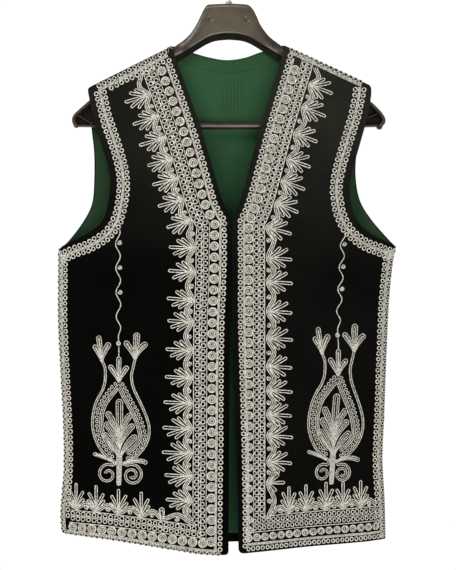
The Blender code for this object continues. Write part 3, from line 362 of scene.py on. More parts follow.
class Surface:
    """The outer face of the front or the back. Facing is -1 for the front and 1 for the back."""

    HEIGHTS = np.arange(-846.0, -99.0, 3.0)
    ROUND = np.arange(0.0, 330.0, 1.0)

    def __init__(self, facing, chest_depth, folds, creases, hem, roll=Roll(10.0, 0.2)):
        self.facing = facing
        self.chest_depth = chest_depth
        self.folds = folds
        self.creases = creases
        self.roll = roll
        order = np.argsort(hem[:, 0])
        self.hem = hem[order]
        self.shortened = roll.height * (1.0 - math.sin(roll.angle) / roll.angle)
        tables = [self.section_table(side) for side in (-1, 1)]
        self.places = np.array([places for places, _ in tables])
        self.ends = np.array([ends for _, ends in tables])

    def folded(self, x, z):
        return fold_height(self.folds, x, z) + crease_height(self.creases, x, z)

    def section(self, x, z):
        across = np.clip(np.abs(x) / half_width(x, z), 0.0, 1.0)
        return (1.0 - across**SECTION_POWER) ** (1 / SECTION_POWER)

    def chest(self, x, z):
        below = np.clip(shoulder_height(x) - z, 0.0, None)
        return SHOULDER_DEPTH + (self.chest_depth - SHOULDER_DEPTH) * smooth_step(below / SHOULDER_TO_CHEST)

    def depth(self, x, z):
        below = np.clip(shoulder_height(x) - z, 0.0, None)
        rounded = np.clip(below / SHOULDER_ROUND, 0.0, 1.0)
        rise = (1.0 - (1.0 - rounded) ** 2.2) ** (1 / 2.2)
        return SEAM_TURN + (self.chest(x, z) + self.folded(x, z)) * rise * self.section(x, z)

    def section_table(self, side):
        """For each height, x at each whole millimetre round the body, and how far round the seam is."""
        places, ends = [], []
        for z in self.HEIGHTS:
            x = side * half_width(side, z) * np.sin(np.linspace(0.0, math.pi / 2, 260))
            y = (self.chest(x, z) + self.folded(x, z)) * self.section(x, z)
            arc = lengths_along(np.column_stack([x, y]))
            places.append(np.interp(self.ROUND, arc, x))
            ends.append(arc[-1])
        return places, ends

    def seam_u(self, side, z):
        """How far round the seam's edge lies, past the turn at the seam."""
        return side * (np.interp(z, self.HEIGHTS, self.ends[(side + 1) // 2]) + SEAM_TURN - SEAM_Y)

    def flat(self, spots):
        """Flat coordinates of points given by x and z."""
        spots = np.asarray(spots, float)
        found = []
        for x, z in spots:
            row = np.clip((z - self.HEIGHTS[0]) / 3.0, 0.0, len(self.HEIGHTS) - 1.001)
            low, share = int(row), row % 1.0
            table = self.places[int(x >= 0)]
            u = [np.interp(abs(x), np.abs(table[r]), self.ROUND) for r in (low, low + 1)]
            u = u[0] * (1.0 - share) + u[1] * share
            found.append((math.copysign(u, x), z))
        return np.array(found)

    def x_at(self, u, z):
        row = np.clip((z - self.HEIGHTS[0]) / 3.0, 0.0, len(self.HEIGHTS) - 1.001)
        column = np.clip(np.abs(u), 0.0, len(self.ROUND) - 1.001)
        r, c = row.astype(int), column.astype(int)
        down, across = row - r, column - c
        half = (u >= 0).astype(int)
        low = self.places[half, r, c] * (1 - across) + self.places[half, r, c + 1] * across
        high = self.places[half, r + 1, c] * (1 - across) + self.places[half, r + 1, c + 1] * across
        ends = self.ends[half, r] * (1 - down) + self.ends[half, r + 1] * down
        return low * (1 - down) + high * down, np.clip(np.abs(u) - ends, 0.0, SEAM_TURN - SEAM_Y)

    def lay(self, u, z):
        """Points on the cloth for flat coordinates."""
        x, past_seam = self.x_at(u, z)
        y = self.depth(x, z) - past_seam
        hem = np.interp(x, self.hem[:, 0], self.hem[:, 1])
        up = np.clip((z - hem + self.shortened) / self.roll.height, 0.0, 1.0)
        slope = self.roll.angle * (1.0 - up)
        reach = self.roll.height / self.roll.angle
        rolled = hem + reach * (math.sin(self.roll.angle) - np.sin(slope))
        rise = np.where(up < 1.0, rolled, z)
        y = y - reach * (1.0 - np.cos(slope))
        return np.stack([x, self.facing * y, rise], axis=-1)

    def normal(self, u, z, step=0.7):
        round_it = self.lay(u + step, z) - self.lay(u - step, z)
        upward = self.lay(u, z + step) - self.lay(u, z - step)
        normal = np.cross(round_it, upward) * -self.facing
        return normal / np.linalg.norm(normal, axis=-1)[..., None]


def spread_out(total, middle, close=(0.0, 1.0, 2.2, 3.6, 5.4, 8.0, 11.0, 15.0)):
    """Shares from 0 to 1, close together near both ends."""
    close = np.array(close) / total
    return np.concatenate([close[:-1], np.linspace(close[-1], 1.0 - close[-1], middle), 1.0 - close[-2::-1]])


def side_rows(seam, armhole, body_rows, arm_rows):
    """Rows up a side, close together at the hem and at the shoulder."""
    body = along(seam, lengths_along(seam)[-1] * hem_shares(body_rows))
    total = lengths_along(armhole)[-1]
    top = np.array([16.0, 12.0, 8.5, 5.5, 3.2, 1.4, 0.0])
    arm = along(armhole, np.concatenate([np.linspace(0.0, total - 20.0, arm_rows), total - top]))
    return np.vstack([body[:-1], arm])


def hem_shares(rows):
    close = np.array([0.0, 1.2, 2.6, 4.4, 6.6, 9.4, 13.0, 18.0]) / 420.0
    return np.concatenate([close[:-1], np.linspace(close[-1], 1.0, rows)])


def lower_to_hem(flat, hem, fade_rows):
    """Draws the lowest rows onto the curve of the hem."""
    order = np.argsort(hem[:, 0])
    dip = np.interp(flat[0, :, 0], hem[order, 0], hem[order, 1]) - flat[0, :, 1]
    height = flat[:, :1, 1] - flat[0, :1, 1]
    fade = 1.0 - smooth_step(height / height[fade_rows])
    flat[..., 1] += dip[None] * fade


def round_corner(flat, row, column, radius):
    """Rounds a corner of the panel. Row and column are 0 or -1."""
    corner = flat[row, column].copy()
    next_row, next_column = (6 if row == 0 else -7), (6 if column == 0 else -7)
    ways = np.array([flat[row, next_column] - corner, flat[next_row, column] - corner])
    ways /= np.linalg.norm(ways, axis=1)[:, None]
    reach = (flat - corner) @ np.linalg.inv(ways)
    near = ((reach < radius).all(axis=-1))[..., None]
    share = np.clip(1.0 - reach / radius, 0.0, None)
    size = np.maximum(np.linalg.norm(share, axis=-1), 1e-9)[..., None]
    moved = (1.0 - share * share.max(axis=-1)[..., None] / size) * radius
    flat += np.where(near, moved - reach, 0.0) @ ways


def front_flat(surface, side):
    """Flat coordinates of a front's points, row by row from the hem, from the front edge to the side."""
    seam, edge = SIDE_CURVES[side], curve_through(FRONT_EDGE[side])
    neck, armhole = curve_through(FRONT_NECK[side]), curve_through(FRONT_ARMHOLE[side])
    outer = side_rows(seam, armhole, 60, 46)
    flat_outer = surface.flat(outer)
    on_seam = outer[:, 1] <= armhole[0, 1] + 0.01
    flat_outer[on_seam, 0] = surface.seam_u(side, outer[on_seam, 1])
    line = np.vstack([edge[:-1], neck])
    total = lengths_along(line)[-1]
    rises = lengths_along(outer) / lengths_along(outer)[-1]
    inner = surface.flat(along(line, total * rises))
    across = spread_out(236.0, 52)
    flat = inner[:, None] + (flat_outer - inner)[:, None] * across[None, :, None]
    hem = surface.flat(curve_through(FRONT_HEM[side]))
    hem[-1, 0] = flat_outer[0, 0]
    lower_to_hem(flat, hem - (0.0, surface.shortened), 22)
    round_corner(flat, 0, 0, CORNER)
    round_corner(flat, 0, -1, CORNER)
    round_corner(flat, -1, 0, NECK_CORNER)
    round_corner(flat, -1, -1, TIP_CORNER)
    return flat


def back_flat(surface):
    """Flat coordinates of the back's points, from the right side seam to the left."""
    outer = {}
    for side in (-1, 1):
        armhole = curve_through(BACK_ARMHOLE[side])
        rows = side_rows(SIDE_CURVES[side], armhole, 60, 46)
        outer[side] = surface.flat(rows)
        on_seam = rows[:, 1] <= armhole[0, 1] + 0.01
        outer[side][on_seam, 0] = surface.seam_u(side, rows[on_seam, 1])
    across = spread_out(490.0, 104)
    flat = outer[-1][:, None] + (outer[1] - outer[-1])[:, None] * across[None, :, None]
    hem = surface.flat(curve_through(BACK_HEM))
    hem[0, 0], hem[-1, 0] = flat[0, 0, 0], flat[0, -1, 0]
    lower_to_hem(flat, hem - (0.0, surface.shortened), 22)
    neck = surface.flat(curve_through(BACK_NECK))
    top, start, end = flat[-1].copy(), flat[-1, 0].copy(), flat[-1, -1].copy()
    neck_length = lengths_along(neck)[-1]
    for column, share in enumerate(across):
        if share <= 0.3:
            top[column] = start + (neck[0] - start) * share / 0.3
        elif share >= 0.7:
            top[column] = end + (neck[-1] - end) * (1.0 - share) / 0.3
        else:
            top[column] = along(neck, [neck_length * (share - 0.3) / 0.4])[0]
    heights = flat[:, 0, 1]
    underarm = BACK_ARMHOLE[-1][0].z
    fade = smooth_step((heights - underarm) / (heights[-1] - underarm))
    flat += (top - flat[-1])[None] * fade[:, None, None]
    round_corner(flat, -1, 0, TIP_CORNER)
    round_corner(flat, -1, -1, TIP_CORNER)
    return flat


def laid_panel(surface, flat, neck_width):
    """The panel's points in space, with the narrow turn along the shoulder seam."""
    points = surface.lay(flat[..., 0], flat[..., 1])
    top = points[-1].copy()
    at_neck = smooth_step((neck_width + 3.0 - np.abs(top[:, 0])) / 6.0)
    lowered = flat[-1].copy()
    lowered[:, 1] -= SEAM_TURN * at_neck
    rows = []
    for share in (0.0, 0.3, 0.65, 1.0):
        row = surface.lay(lowered[:, 0], lowered[:, 1] + SEAM_TURN * at_neck * share)
        row[:, 1] -= surface.facing * (SEAM_TURN - SEAM_Y) * share * (1.0 - at_neck)
        rows.append(row)
    return np.concatenate([points[:-1], rows], axis=0)


def grid_normals(points, facing):
    across = np.gradient(points, axis=1)
    upward = np.gradient(points, axis=0)
    normal = np.cross(across, upward)
    normal /= np.linalg.norm(normal, axis=-1)[..., None]
    middle = normal[len(points) // 2, points.shape[1] // 2]
    return normal if middle[1] * facing > 0 else -normal


def mesh_object(name, verts, quads, uvs=None, caps=None, cap_uvs=None, parts=None):
    """An object from arrays in millimetres: quads, and many-sided caps that close tubes."""
    mesh = bpy.data.meshes.new(name)
    corners = [quads.ravel()] + ([caps.ravel()] if caps is not None else [])
    sizes = [np.full(len(quads), 4)] + ([np.full(len(caps), caps.shape[1])] if caps is not None else [])
    corners, sizes = np.concatenate(corners), np.concatenate(sizes)
    mesh.vertices.add(len(verts))
    mesh.vertices.foreach_set("co", (verts * MM).astype(np.float32).ravel())
    mesh.loops.add(len(corners))
    mesh.loops.foreach_set("vertex_index", corners.astype(np.int32))
    mesh.polygons.add(len(sizes))
    mesh.polygons.foreach_set("loop_start", np.concatenate([[0], np.cumsum(sizes)[:-1]]).astype(np.int32))
    mesh.polygons.foreach_set("loop_total", sizes.astype(np.int32))
    if parts is not None:
        mesh.polygons.foreach_set("material_index", parts.astype(np.int32))
    if uvs is not None:
        layer = mesh.uv_layers.new(name="UVMap")
        flat_uvs = np.concatenate([uvs.reshape(-1, 2), cap_uvs.reshape(-1, 2)]) if caps is not None else uvs
        layer.data.foreach_set("uv", flat_uvs.astype(np.float32).ravel())
    mesh.validate()
    mesh.update()
    mesh.shade_smooth()
    obj = bpy.data.objects.new(name, mesh)
    bpy.context.scene.collection.objects.link(obj)
    return obj


def rim_of(rows, columns):
    last = (rows - 1) * columns
    right = [r * columns + columns - 1 for r in range(1, rows - 1)]
    left = [r * columns for r in range(1, rows - 1)]
    return np.array([*range(columns), *right, *range(last + columns - 1, last - 1, -1), *left[::-1]])


def shell(name, outer, inner, bulge=0.2, trim=None):
    """A closed cloth wall between two grids of points. Trim is the share of turned edge."""
    rows, columns = outer.shape[:2]
    count = rows * columns
    number = np.arange(count).reshape(rows, columns)
    face = np.stack([number[:-1, :-1], number[:-1, 1:], number[1:, 1:], number[1:, :-1]],
                    axis=-1).reshape(-1, 4)
    rim = rim_of(rows, columns)
    outward = np.zeros_like(outer)
    outward[0] += outer[0] - outer[1]
    outward[-1] += outer[-1] - outer[-2]
    outward[:, 0] += outer[:, 0] - outer[:, 1]
    outward[:, -1] += outer[:, -1] - outer[:, -2]
    outward = outward.reshape(-1, 3)[rim]
    outward /= np.linalg.norm(outward, axis=1)[:, None]
    near, far = outer.reshape(-1, 3), inner.reshape(-1, 3)
    middle = (near[rim] + far[rim]) / 2 + outward * bulge
    verts = np.vstack([near, far, middle])
    ring = np.arange(len(rim)) + 2 * count
    nexts = np.roll(np.arange(len(rim)), -1)
    walls = np.vstack([np.stack([rim[nexts], rim, ring, ring[nexts]], axis=1),
                       np.stack([ring[nexts], ring, rim + count, rim[nexts] + count], axis=1)])
    quads = np.vstack([face, face[:, ::-1] + count, walls])
    parts = None
    if trim is not None:
        inside = trim.reshape(rows, columns)[:-1, :-1].ravel()
        parts = np.concatenate([np.zeros(len(face)), inside, np.zeros(len(walls))])
    obj = mesh_object(name, verts, orient(verts, quads), parts=parts)
    return obj


def orient(verts, quads):
    """Turns all faces outward: the wall is one closed surface with one winding."""
    a, b, c, d = (verts[quads[:, k]] for k in range(4))
    volume = (np.cross(b - a, c - a) * a).sum() + (np.cross(c - a, d - a) * a).sum()
    return quads if volume > 0 else quads[:, ::-1]


class Cords:
    """Couched cords on a surface, collected and then made as one joined mesh."""

    SIDES = 6

    def __init__(self, surface):
        self.surface = surface
        self.paths = []

    def add(self, path, radius=0.9, lift=0.0, closed=False, step=1.9):
        """A cord along a flat path. Lift is how far it rides above its usual place."""
        path = np.asarray(path, float)
        lift = np.broadcast_to(np.asarray(lift, float), len(path))
        line = np.column_stack([path, lift])
        if closed:
            line = np.vstack([line, line[:1]])
        lengths = lengths_along(line[:, :2])
        count = max(int(round(lengths[-1] / step)), 6 if closed else 2)
        spots = np.linspace(0.0, lengths[-1], count + 1)[:count + (not closed)]
        line = np.column_stack([np.interp(spots, lengths, line[:, k]) for k in range(3)])
        self.paths.append((line, radius, closed))

    def strands(self, path, count, gap, radius=0.8, lift=0.0):
        """Cords laid side by side along one path."""
        path = np.asarray(path, float)
        side = beside(path)
        for k in range(count):
            self.add(path + side * (k - (count - 1) / 2) * gap, radius, lift)

    def build(self, name, material):
        every = np.vstack([line for line, _, _ in self.paths])
        points = self.surface.lay(every[:, 0], every[:, 1])
        normals = self.surface.normal(every[:, 0], every[:, 1])
        angles = np.arange(self.SIDES) * 2 * math.pi / self.SIDES
        cos, sin = np.cos(angles)[None, :, None], np.sin(angles)[None, :, None]
        verts, quads, uvs, caps, start, base = [], [], [], [], 0, 0
        for line, radius, closed in self.paths:
            count = len(line)
            normal = normals[start:start + count]
            centre = points[start:start + count] + normal * (radius * 0.8 + line[:, 2:])
            start += count
            size = np.full(count, radius)
            if closed:
                run = np.roll(centre, -1, axis=0) - np.roll(centre, 1, axis=0)
            else:
                run = np.gradient(centre, axis=0)
                size[[0, -1]] *= 0.62
            run /= np.linalg.norm(run, axis=1)[:, None]
            side = np.cross(run, normal)
            side /= np.linalg.norm(side, axis=1)[:, None]
            up = np.cross(side, run)
            section = centre[:, None] + (side[:, None] * cos + up[:, None] * sin) * size[:, None, None]
            verts.append(section.reshape(-1, 3))
            number = base + np.arange(count * self.SIDES).reshape(count, self.SIDES)
            nexts = np.roll(number, -1, axis=0) if closed else number[1:]
            first = number if closed else number[:-1]
            quads.append(np.stack([first, np.roll(first, -1, axis=1), np.roll(nexts, -1, axis=1), nexts],
                                  axis=-1).reshape(-1, 4))
            lengths = np.linalg.norm(np.diff(np.vstack([centre, centre[:1]]), axis=0), axis=1)
            at = np.concatenate([[0.0], np.cumsum(lengths)])[:len(first) + 1]
            left, right = np.arange(self.SIDES) / self.SIDES, (np.arange(self.SIDES) + 1) / self.SIDES
            u0, u1 = (np.broadcast_to(v[:, None], (len(first), self.SIDES)) for v in (at[:-1], at[1:]))
            v0, v1 = (np.broadcast_to(v[None], (len(first), self.SIDES)) for v in (left, right))
            uvs.append(np.stack([u0, v0, u0, v1, u1, v1, u1, v0], axis=-1).reshape(-1, 8))
            if not closed:
                caps += [number[0, ::-1], number[-1]]
            base += count * self.SIDES
        caps = np.array(caps) if caps else None
        cap_uvs = np.zeros((len(caps), self.SIDES, 2)) if caps is not None else None
        obj = mesh_object(name, np.vstack(verts), np.vstack(quads), np.vstack(uvs), caps, cap_uvs)
        obj.data.materials.append(material)
        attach(obj, "root")
        return obj


class Rail:
    """An edge of the panel. s runs along the edge, and d in from it."""

    def __init__(self, curve, inward, blur=24):
        total = lengths_along(curve)[-1]
        count = int(total)
        self.points = evenly(curve, count)
        self.s = np.linspace(0.0, total, count + 1)
        self.length = total
        run = np.gradient(self.points, axis=0)
        run = np.pad(run, ((blur, blur), (0, 0)), mode="edge")
        kernel = np.ones(2 * blur + 1) / (2 * blur + 1)
        run = np.column_stack([np.convolve(run[:, k], kernel, "valid") for k in range(2)])
        run /= np.linalg.norm(run, axis=1)[:, None]
        self.normals = np.column_stack([-run[:, 1], run[:, 0]]) * inward

    def at(self, s, d):
        spot = np.column_stack([np.interp(s, self.s, self.points[:, k]) for k in range(2)])
        normal = np.column_stack([np.interp(s, self.s, self.normals[:, k]) for k in range(2)])
        return spot + normal * np.broadcast_to(d, np.shape(s))[:, None]

    def row(self, start, end, d):
        """A dense line at a distance in from the edge, given as one value or as its values at both ends."""
        s = np.arange(start, self.length - end, 1.0)
        d_start, d_end = d if isinstance(d, tuple) else (d, d)
        return self.at(s, np.interp(s, [0.0, self.length], [d_start, d_end]))


def spots_on(row, pitch):
    """Evenly spaced points along a row, and the row's direction at each."""
    total = lengths_along(row)[-1]
    count = max(int(round(total / pitch)), 1)
    places = (np.arange(count) + 0.5) * total / count
    run = along(row, places + 0.5) - along(row, places - 0.5)
    return along(row, places), run / np.linalg.norm(run, axis=1)[:, None]


def circle(centre, radius, turn=0.0, squeeze=1.0, direction=(1.0, 0.0)):
    angles = turn + np.arange(12) * 2 * math.pi / 12
    ahead, side = np.array(direction), np.array([-direction[1], direction[0]])
    return centre + radius * (squeeze * np.cos(angles)[:, None] * ahead + np.sin(angles)[:, None] * side)


def spiral(centre, outer, inner, turns, start, way=1):
    count = int(turns * 16)
    share = np.linspace(0.0, 1.0, count)
    angles = start + way * share * turns * 2 * math.pi
    radius = outer + (inner - outer) * share
    return np.asarray(centre) + radius[:, None] * np.column_stack([np.cos(angles), np.sin(angles)])


def rings(cords, row, pitch, radius=2.75, squeeze=1.0, strand=0.98):
    """A row of small rings, each a closed turn of cord."""
    centres, runs = spots_on(row, pitch)
    for centre, run in zip(centres, runs):
        centre = centre + rng.normal(0.0, 0.16, 2)
        size = radius * rng.uniform(0.95, 1.05)
        cords.add(circle(centre, size, rng.uniform(0.0, 1.0), squeeze * rng.uniform(0.94, 1.04), run),
                  strand, closed=True, step=1.5)


def rosettes(cords, row, pitch, radius):
    """A row of discs, each a cord wound in a flat spiral. Radius may differ from start to end."""
    centres, _ = spots_on(row, pitch)
    for centre, base in zip(centres, np.interp(np.arange(len(centres)), [0, len(centres) / 2],
                                               np.broadcast_to(radius, 2))):
        size = base * rng.uniform(0.97, 1.03) - 0.85
        turns = (size - 0.9) / 2.1
        cords.add(spiral(centre, size, 0.9, turns, rng.uniform(0.0, 6.3), rng.choice([-1, 1])), 0.82,
                  step=1.7)
        cords.add(circle(centre, size), 0.8, closed=True, step=1.7)


def plait(cords, row, width=3.6, wave=8.4, strand=0.66):
    """Three strands plaited along a row."""
    total = lengths_along(row)[-1]
    s = np.arange(0.0, total, 1.1)
    line = along(row, s)
    side = beside(line)
    for k in range(3):
        phase = 2 * math.pi * (s / wave + k / 3)
        cords.add(line + side * (width / 2 * np.sin(phase))[:, None], strand,
                  lift=0.55 * (1.0 + np.sin(2 * phase)), step=1.2)


def crossings(cords, row, pitch, width):
    """Two cords that cross between neighbouring rings and link two rows of them."""
    total = lengths_along(row)[-1]
    s = np.arange(0.0, total, 1.0)
    line = along(row, s)
    side = beside(line)
    for way in (-1, 1):
        aside = way * width / 2 * np.sin(math.pi * s / pitch)
        cords.add(line + side * aside[:, None], 0.55, lift=0.1 + 0.1 * way, step=1.6)


def bent_line(start, end, bend, count=9):
    """A line from start to end that bows to its left by bend."""
    start, end = np.asarray(start, float), np.asarray(end, float)
    run = end - start
    side = np.array([-run[1], run[0]]) / np.linalg.norm(run)
    share = np.linspace(0.0, 1.0, count)[:, None]
    return start + run * share + side * bend * 4 * share * (1 - share)


def loop_round(spine, root_width, tip_width):
    """A hairpin of cord round a line: out on one side, round the tip and back on the other."""
    side = beside(spine)
    ahead = np.array([side[-1, 1], -side[-1, 0]])
    share = np.linspace(0.0, 1.0, len(spine))
    half = (root_width + (tip_width - root_width) * smooth_step(share * 1.25))[:, None] / 2
    spine = spine - ahead * half[-1] * share[:, None] ** 3
    angles = np.radians(np.linspace(75.0, -75.0, 6))[:, None]
    tip = spine[-1] + half[-1] * (np.cos(angles) * ahead + np.sin(angles) * side[-1])
    return np.vstack([spine + side * half, tip, (spine - side * half)[::-1]])


def palmette(cords, root, ahead, fingers, width=5.4, scale=1.0):
    """A fan of looped fingers. Ahead is the direction of the middle finger."""
    ahead = np.asarray(ahead) / np.linalg.norm(ahead)
    side = np.array([-ahead[1], ahead[0]])
    order = sorted(range(len(fingers)), key=lambda k: -abs(fingers[k][1]))
    for rank, k in enumerate(order):
        reach, aside = fingers[k]
        reach, aside = reach * scale * rng.uniform(0.96, 1.04), aside * scale * rng.uniform(0.94, 1.06)
        tip = root + ahead * reach + side * aside
        start = root + ahead * (reach - 18.0) * 0.25
        knee = start + ahead * reach * 0.36 + side * aside * 0.2
        share = np.linspace(0.0, 1.0, 11)[:, None]
        spine = start * (1 - share) ** 2 + 2 * knee * share * (1 - share) + tip * share**2
        path = loop_round(spine, 1.9, width - 1.8)
        near_root = np.linalg.norm(path - root, axis=1)
        cords.add(path, 0.8, lift=0.05 + (0.3 + 0.25 * rank) * np.exp(-near_root / 9.0), step=1.6)
    cords.add(bent_line(root, root + ahead * 14.0 * scale, 0.0), 0.8, lift=1.3, step=2.4)


def scallops(cords, rail, roots, valley, bulge):
    """A wavy band of cords that dips to the border at each palmette's root."""
    s = np.arange(roots[0], roots[-1], 1.0)
    phase = np.interp(s, roots, np.arange(len(roots)))
    base = np.interp(s, [0.0, rail.length], valley) if isinstance(valley, tuple) else np.full(len(s), valley)
    rise = (bulge - valley) if not isinstance(valley, tuple) else bulge
    line = rail.at(s, base + rise * np.sin(math.pi * phase) ** 2)
    cords.strands(line, 3, 2.35, 0.8, lift=0.1)


def middles(roots):
    return [(a + b) / 2 for a, b in zip(roots, roots[1:])]


def nearest_s(rail, d, axis, values):
    """Where along the rail, at distance d in, a coordinate takes the given values."""
    row = rail.at(rail.s, d)
    order = np.argsort(row[:, axis])
    return np.interp(values, row[order, axis], rail.s[order])


class FrontWork:
    """All the embroidery of one front."""

    def __init__(self, surface, side):
        self.side = side
        self.surface = surface
        neck_line = curve_through(FRONT_NECK[side])
        self.edge = Rail(surface.flat(np.vstack([curve_through(FRONT_EDGE[side])[:-1], neck_line])),
                         -side, 30)
        self.front = Rail(surface.flat(np.vstack([curve_through(BORDER_LINE[side])[:-1], neck_line])),
                          -side, 30)
        hem = surface.flat(curve_through(FRONT_HEM[side]))
        hem[-1, 0] = surface.seam_u(side, hem[-1, 1])
        self.hem = Rail(hem - (0.0, surface.shortened), side, 16)
        seam = SIDE_CURVES[side]
        seam_line = np.column_stack([surface.seam_u(side, seam[:, 1]), seam[:, 1]])
        armhole = surface.flat(curve_through(FRONT_ARMHOLE[side]))[3:]
        self.underarm = lengths_along(seam_line)[-1]
        self.side_rail = Rail(np.vstack([seam_line, armhole]), side, 9)
        tip, neck = FRONT_ARMHOLE[side][-1], FRONT_NECK[side][-1]
        self.shoulder = Rail(surface.flat(np.linspace(tip, neck, 40)), side, 10)

    def border(self):
        """Rows of rings, plait, rosettes and lines up the front edge and along the hem."""
        side, rows, (front_hem, side_hem) = self.side, FRONT_ROWS[self.side], HEM_ROWS[self.side]
        pitch, hem_pitch = RING_PITCH[side], HEM_PITCH[side]
        top = 22.0 if side < 0 else 12.0
        work = Cords(self.surface)
        low_a, low_b, low_disc = front_hem.ring_a - 3.0, front_hem.ring_b + 4.0, front_hem.rosette - 7.0
        hem_a, hem_b, hem_disc = rows.ring_a + 4.0, rows.ring_b + 4.0, rows.rosette + 6.0
        offset = 0.0
        if side > 0:
            low_a, low_b, low_disc = front_hem.line_b + 2.0, front_hem.line_b + 2.0, front_hem.rosette + 6.0
            offset = self.edge.points[0, 0] - self.front.points[0, 0]
            hem_a, hem_b, hem_disc = rows.line - offset + 1.6, rows.line - offset + 2.4, 10.8
        s = np.arange(front_hem.ring + 1.0, self.edge.length - (17.0 if side < 0 else 12.0), 1.0)
        shift = np.interp(s, [0.0, 330.0, self.edge.length], EDGE_SHIFT[side])
        rings(work, self.edge.at(s, rows.ring + shift), pitch)
        plait(work, self.edge.at(s[4:-6], (rows.braid + 1.5 * shift)[4:-6]), 2.8, strand=0.6)
        rosettes(work, self.front.row(low_disc, top + (2.0 if side < 0 else 14.0), rows.rosette),
                 *ROSETTE[side])
        work.add(self.front.row(front_hem.line, top, rows.line), 0.6, step=4.0)
        rings(work, self.front.row(low_a, top, rows.ring_a), pitch, 2.95, strand=0.82)
        rings(work, self.front.row(low_b, top + 2.0, rows.ring_b), pitch, 2.95, strand=0.82)
        middle = (rows.ring_a + rows.ring_b) / 2
        crossings(work, self.front.row(low_a + 3.0, top + 2.0, middle), pitch, 3.4)
        work.add(self.front.row(front_hem.line_b, top + 2.0, rows.line_b), 0.8)
        end = 20.0
        pair = [(a, b) for a, b in zip(front_hem, side_hem)]
        ring, braid, rosette, line, ring_a, ring_b, line_b = pair[:7]
        rings(work, self.hem.row(rows.ring, 10.5, ring), hem_pitch[0], squeeze=hem_pitch[0] / 8.0)
        plait(work, self.hem.row(rows.braid, 13.0, braid), 3.0)
        rosettes(work, self.hem.row(hem_disc, end - 2.5, rosette), hem_pitch[1], hem_pitch[2])
        work.add(self.hem.row(rows.line - offset, end - 2.0, line), 0.7, step=4.0)
        work.add(self.hem.row(rows.line_b - offset, end, line_b), 0.8, step=4.0)
        for row, start in ((ring_a, hem_a), (ring_b, hem_b)):
            rings(work, self.hem.row(start, end, row), hem_pitch[0], 2.85, hem_pitch[0] / 8.0, 0.8)
        between = tuple((a + b) / 2 for a, b in zip(ring_a, ring_b))
        crossings(work, self.hem.row(hem_a, end, between), hem_pitch[0], 3.0)
        return work

    def narrow_bands(self):
        """Two rows of rings with a plait between, up the side, round the armhole and along the shoulder."""
        work = Cords(self.surface)
        out = 8.2 if self.side < 0 else 10.6
        total, bend = self.side_rail.length, self.underarm
        s = np.arange(3.0, total - (9.0 if self.side < 0 else 4.0), 1.0)
        bends = [0.0, bend - 24.0, bend + 8.0, bend + 45.0, bend + 95.0, bend + 190.0, total]
        base = np.interp(s, bends, [out, out, 7.6, 11.0, 13.2, 12.9, 11.0])
        width = np.interp(s, bends, [5.6, 5.6, 5.8, 5.9, 5.9, 5.9, 5.9])
        rings(work, self.side_rail.at(s, base), 7.9)
        plait(work, self.side_rail.at(s, base + width))
        inner = s > 21.0
        rings(work, self.side_rail.at(s[inner], (base + 2 * width)[inner]), 7.9)
        outer_d, plait_d, inner_d = (7.0, 12.4, 17.6) if self.side < 0 else (3.6, 8.6, None)
        rings(work, self.shoulder.row(12.0, 10.0, outer_d), 7.9)
        plait(work, self.shoulder.row(12.0, 12.0, plait_d))
        if inner_d:
            rings(work, self.shoulder.row(26.0, 18.0, inner_d), 7.9)
            for thread in TUFT:
                work.add(curve_through(thread, 6), 0.5, lift=0.6, step=1.2)
        return work

    def palmettes(self):
        """Scallops with discs in their bays, and a palmette growing from each dip."""
        side, rows = self.side, FRONT_ROWS[self.side]
        work = Cords(self.surface)
        tips = np.array(EDGE_PALMETTE_Z[side])
        at = nearest_s(self.front, rows.root + 36.0, 1, tips)
        dips = np.concatenate([[50.0], at, [min(at[-1] + 30.0, self.front.length - 24.0)]])
        scallops(work, self.front, dips, rows.valley, rows.bulge)
        for s in middles(dips)[:-1]:
            self.bay(work, self.front, s, rows.disc)
        for rank, s in enumerate(at):
            root = self.front.at([s], rows.root)[0]
            ahead = self.front.at([s + (1.6 if side < 0 else 0.0)], rows.root + 40.0)[0] - root
            fingers = SMALL_PALMETTE if side > 0 and s == at[0] else PALMETTE[side]
            size = LARGE_PALMETTES[side].get(rank, 1.0)
            palmette(work, root, ahead, [(reach, aside * side) for reach, aside in fingers], scale=size)
        self.hem_palmettes(work)
        return work

    def bay(self, work, rail, s, d):
        centre = rail.at([s], d)[0]
        work.add(spiral(centre, 3.5, 0.8, 1.6, rng.uniform(0.0, 6.3)), 0.86, step=1.4)

    def hem_palmettes(self, work):
        side = self.side
        near, far = HEM_ROWS[side]
        columns = self.surface.flat([(x, -740.0) for x in HEM_PALMETTE_X[side]])[:, 0]
        at = nearest_s(self.hem, 60.0, 0, columns)
        leaf = SINGLE_LEAF_X[side]
        roots = list(at)
        if leaf is not None:
            roots.insert(0, float(nearest_s(self.hem, 50.0, 0, [leaf])[0]))
        first = [58.0 if side < 0 else 52.0]
        dips = np.array(first + roots + [min(roots[-1] + 24.0, self.hem.length - 20.0)])
        scallops(work, self.hem, dips, (near.valley, far.valley), near.bulge - near.valley)
        for s in middles(dips):
            lift = np.interp(s, [0.0, self.hem.length], [near.disc, far.disc])
            self.bay(work, self.hem, s, lift)
        for s in at:
            d = np.interp(s, [0.0, self.hem.length], [near.root, far.root])
            root = self.hem.at([s], d)[0]
            palmette(work, root, (0.0, 1.0), HEM_PALMETTE[side], 5.0)
        if leaf is not None:
            d = np.interp(roots[0], [0.0, self.hem.length], [near.root, far.root])
            root = self.hem.at([roots[0]], d)[0]
            for width in (7.0, 3.6):
                work.add(loop_round(bent_line(root, root + (-1.0, 16.5 - (7.0 - width)), 0.0), 5.0,
                                    width), 0.85)

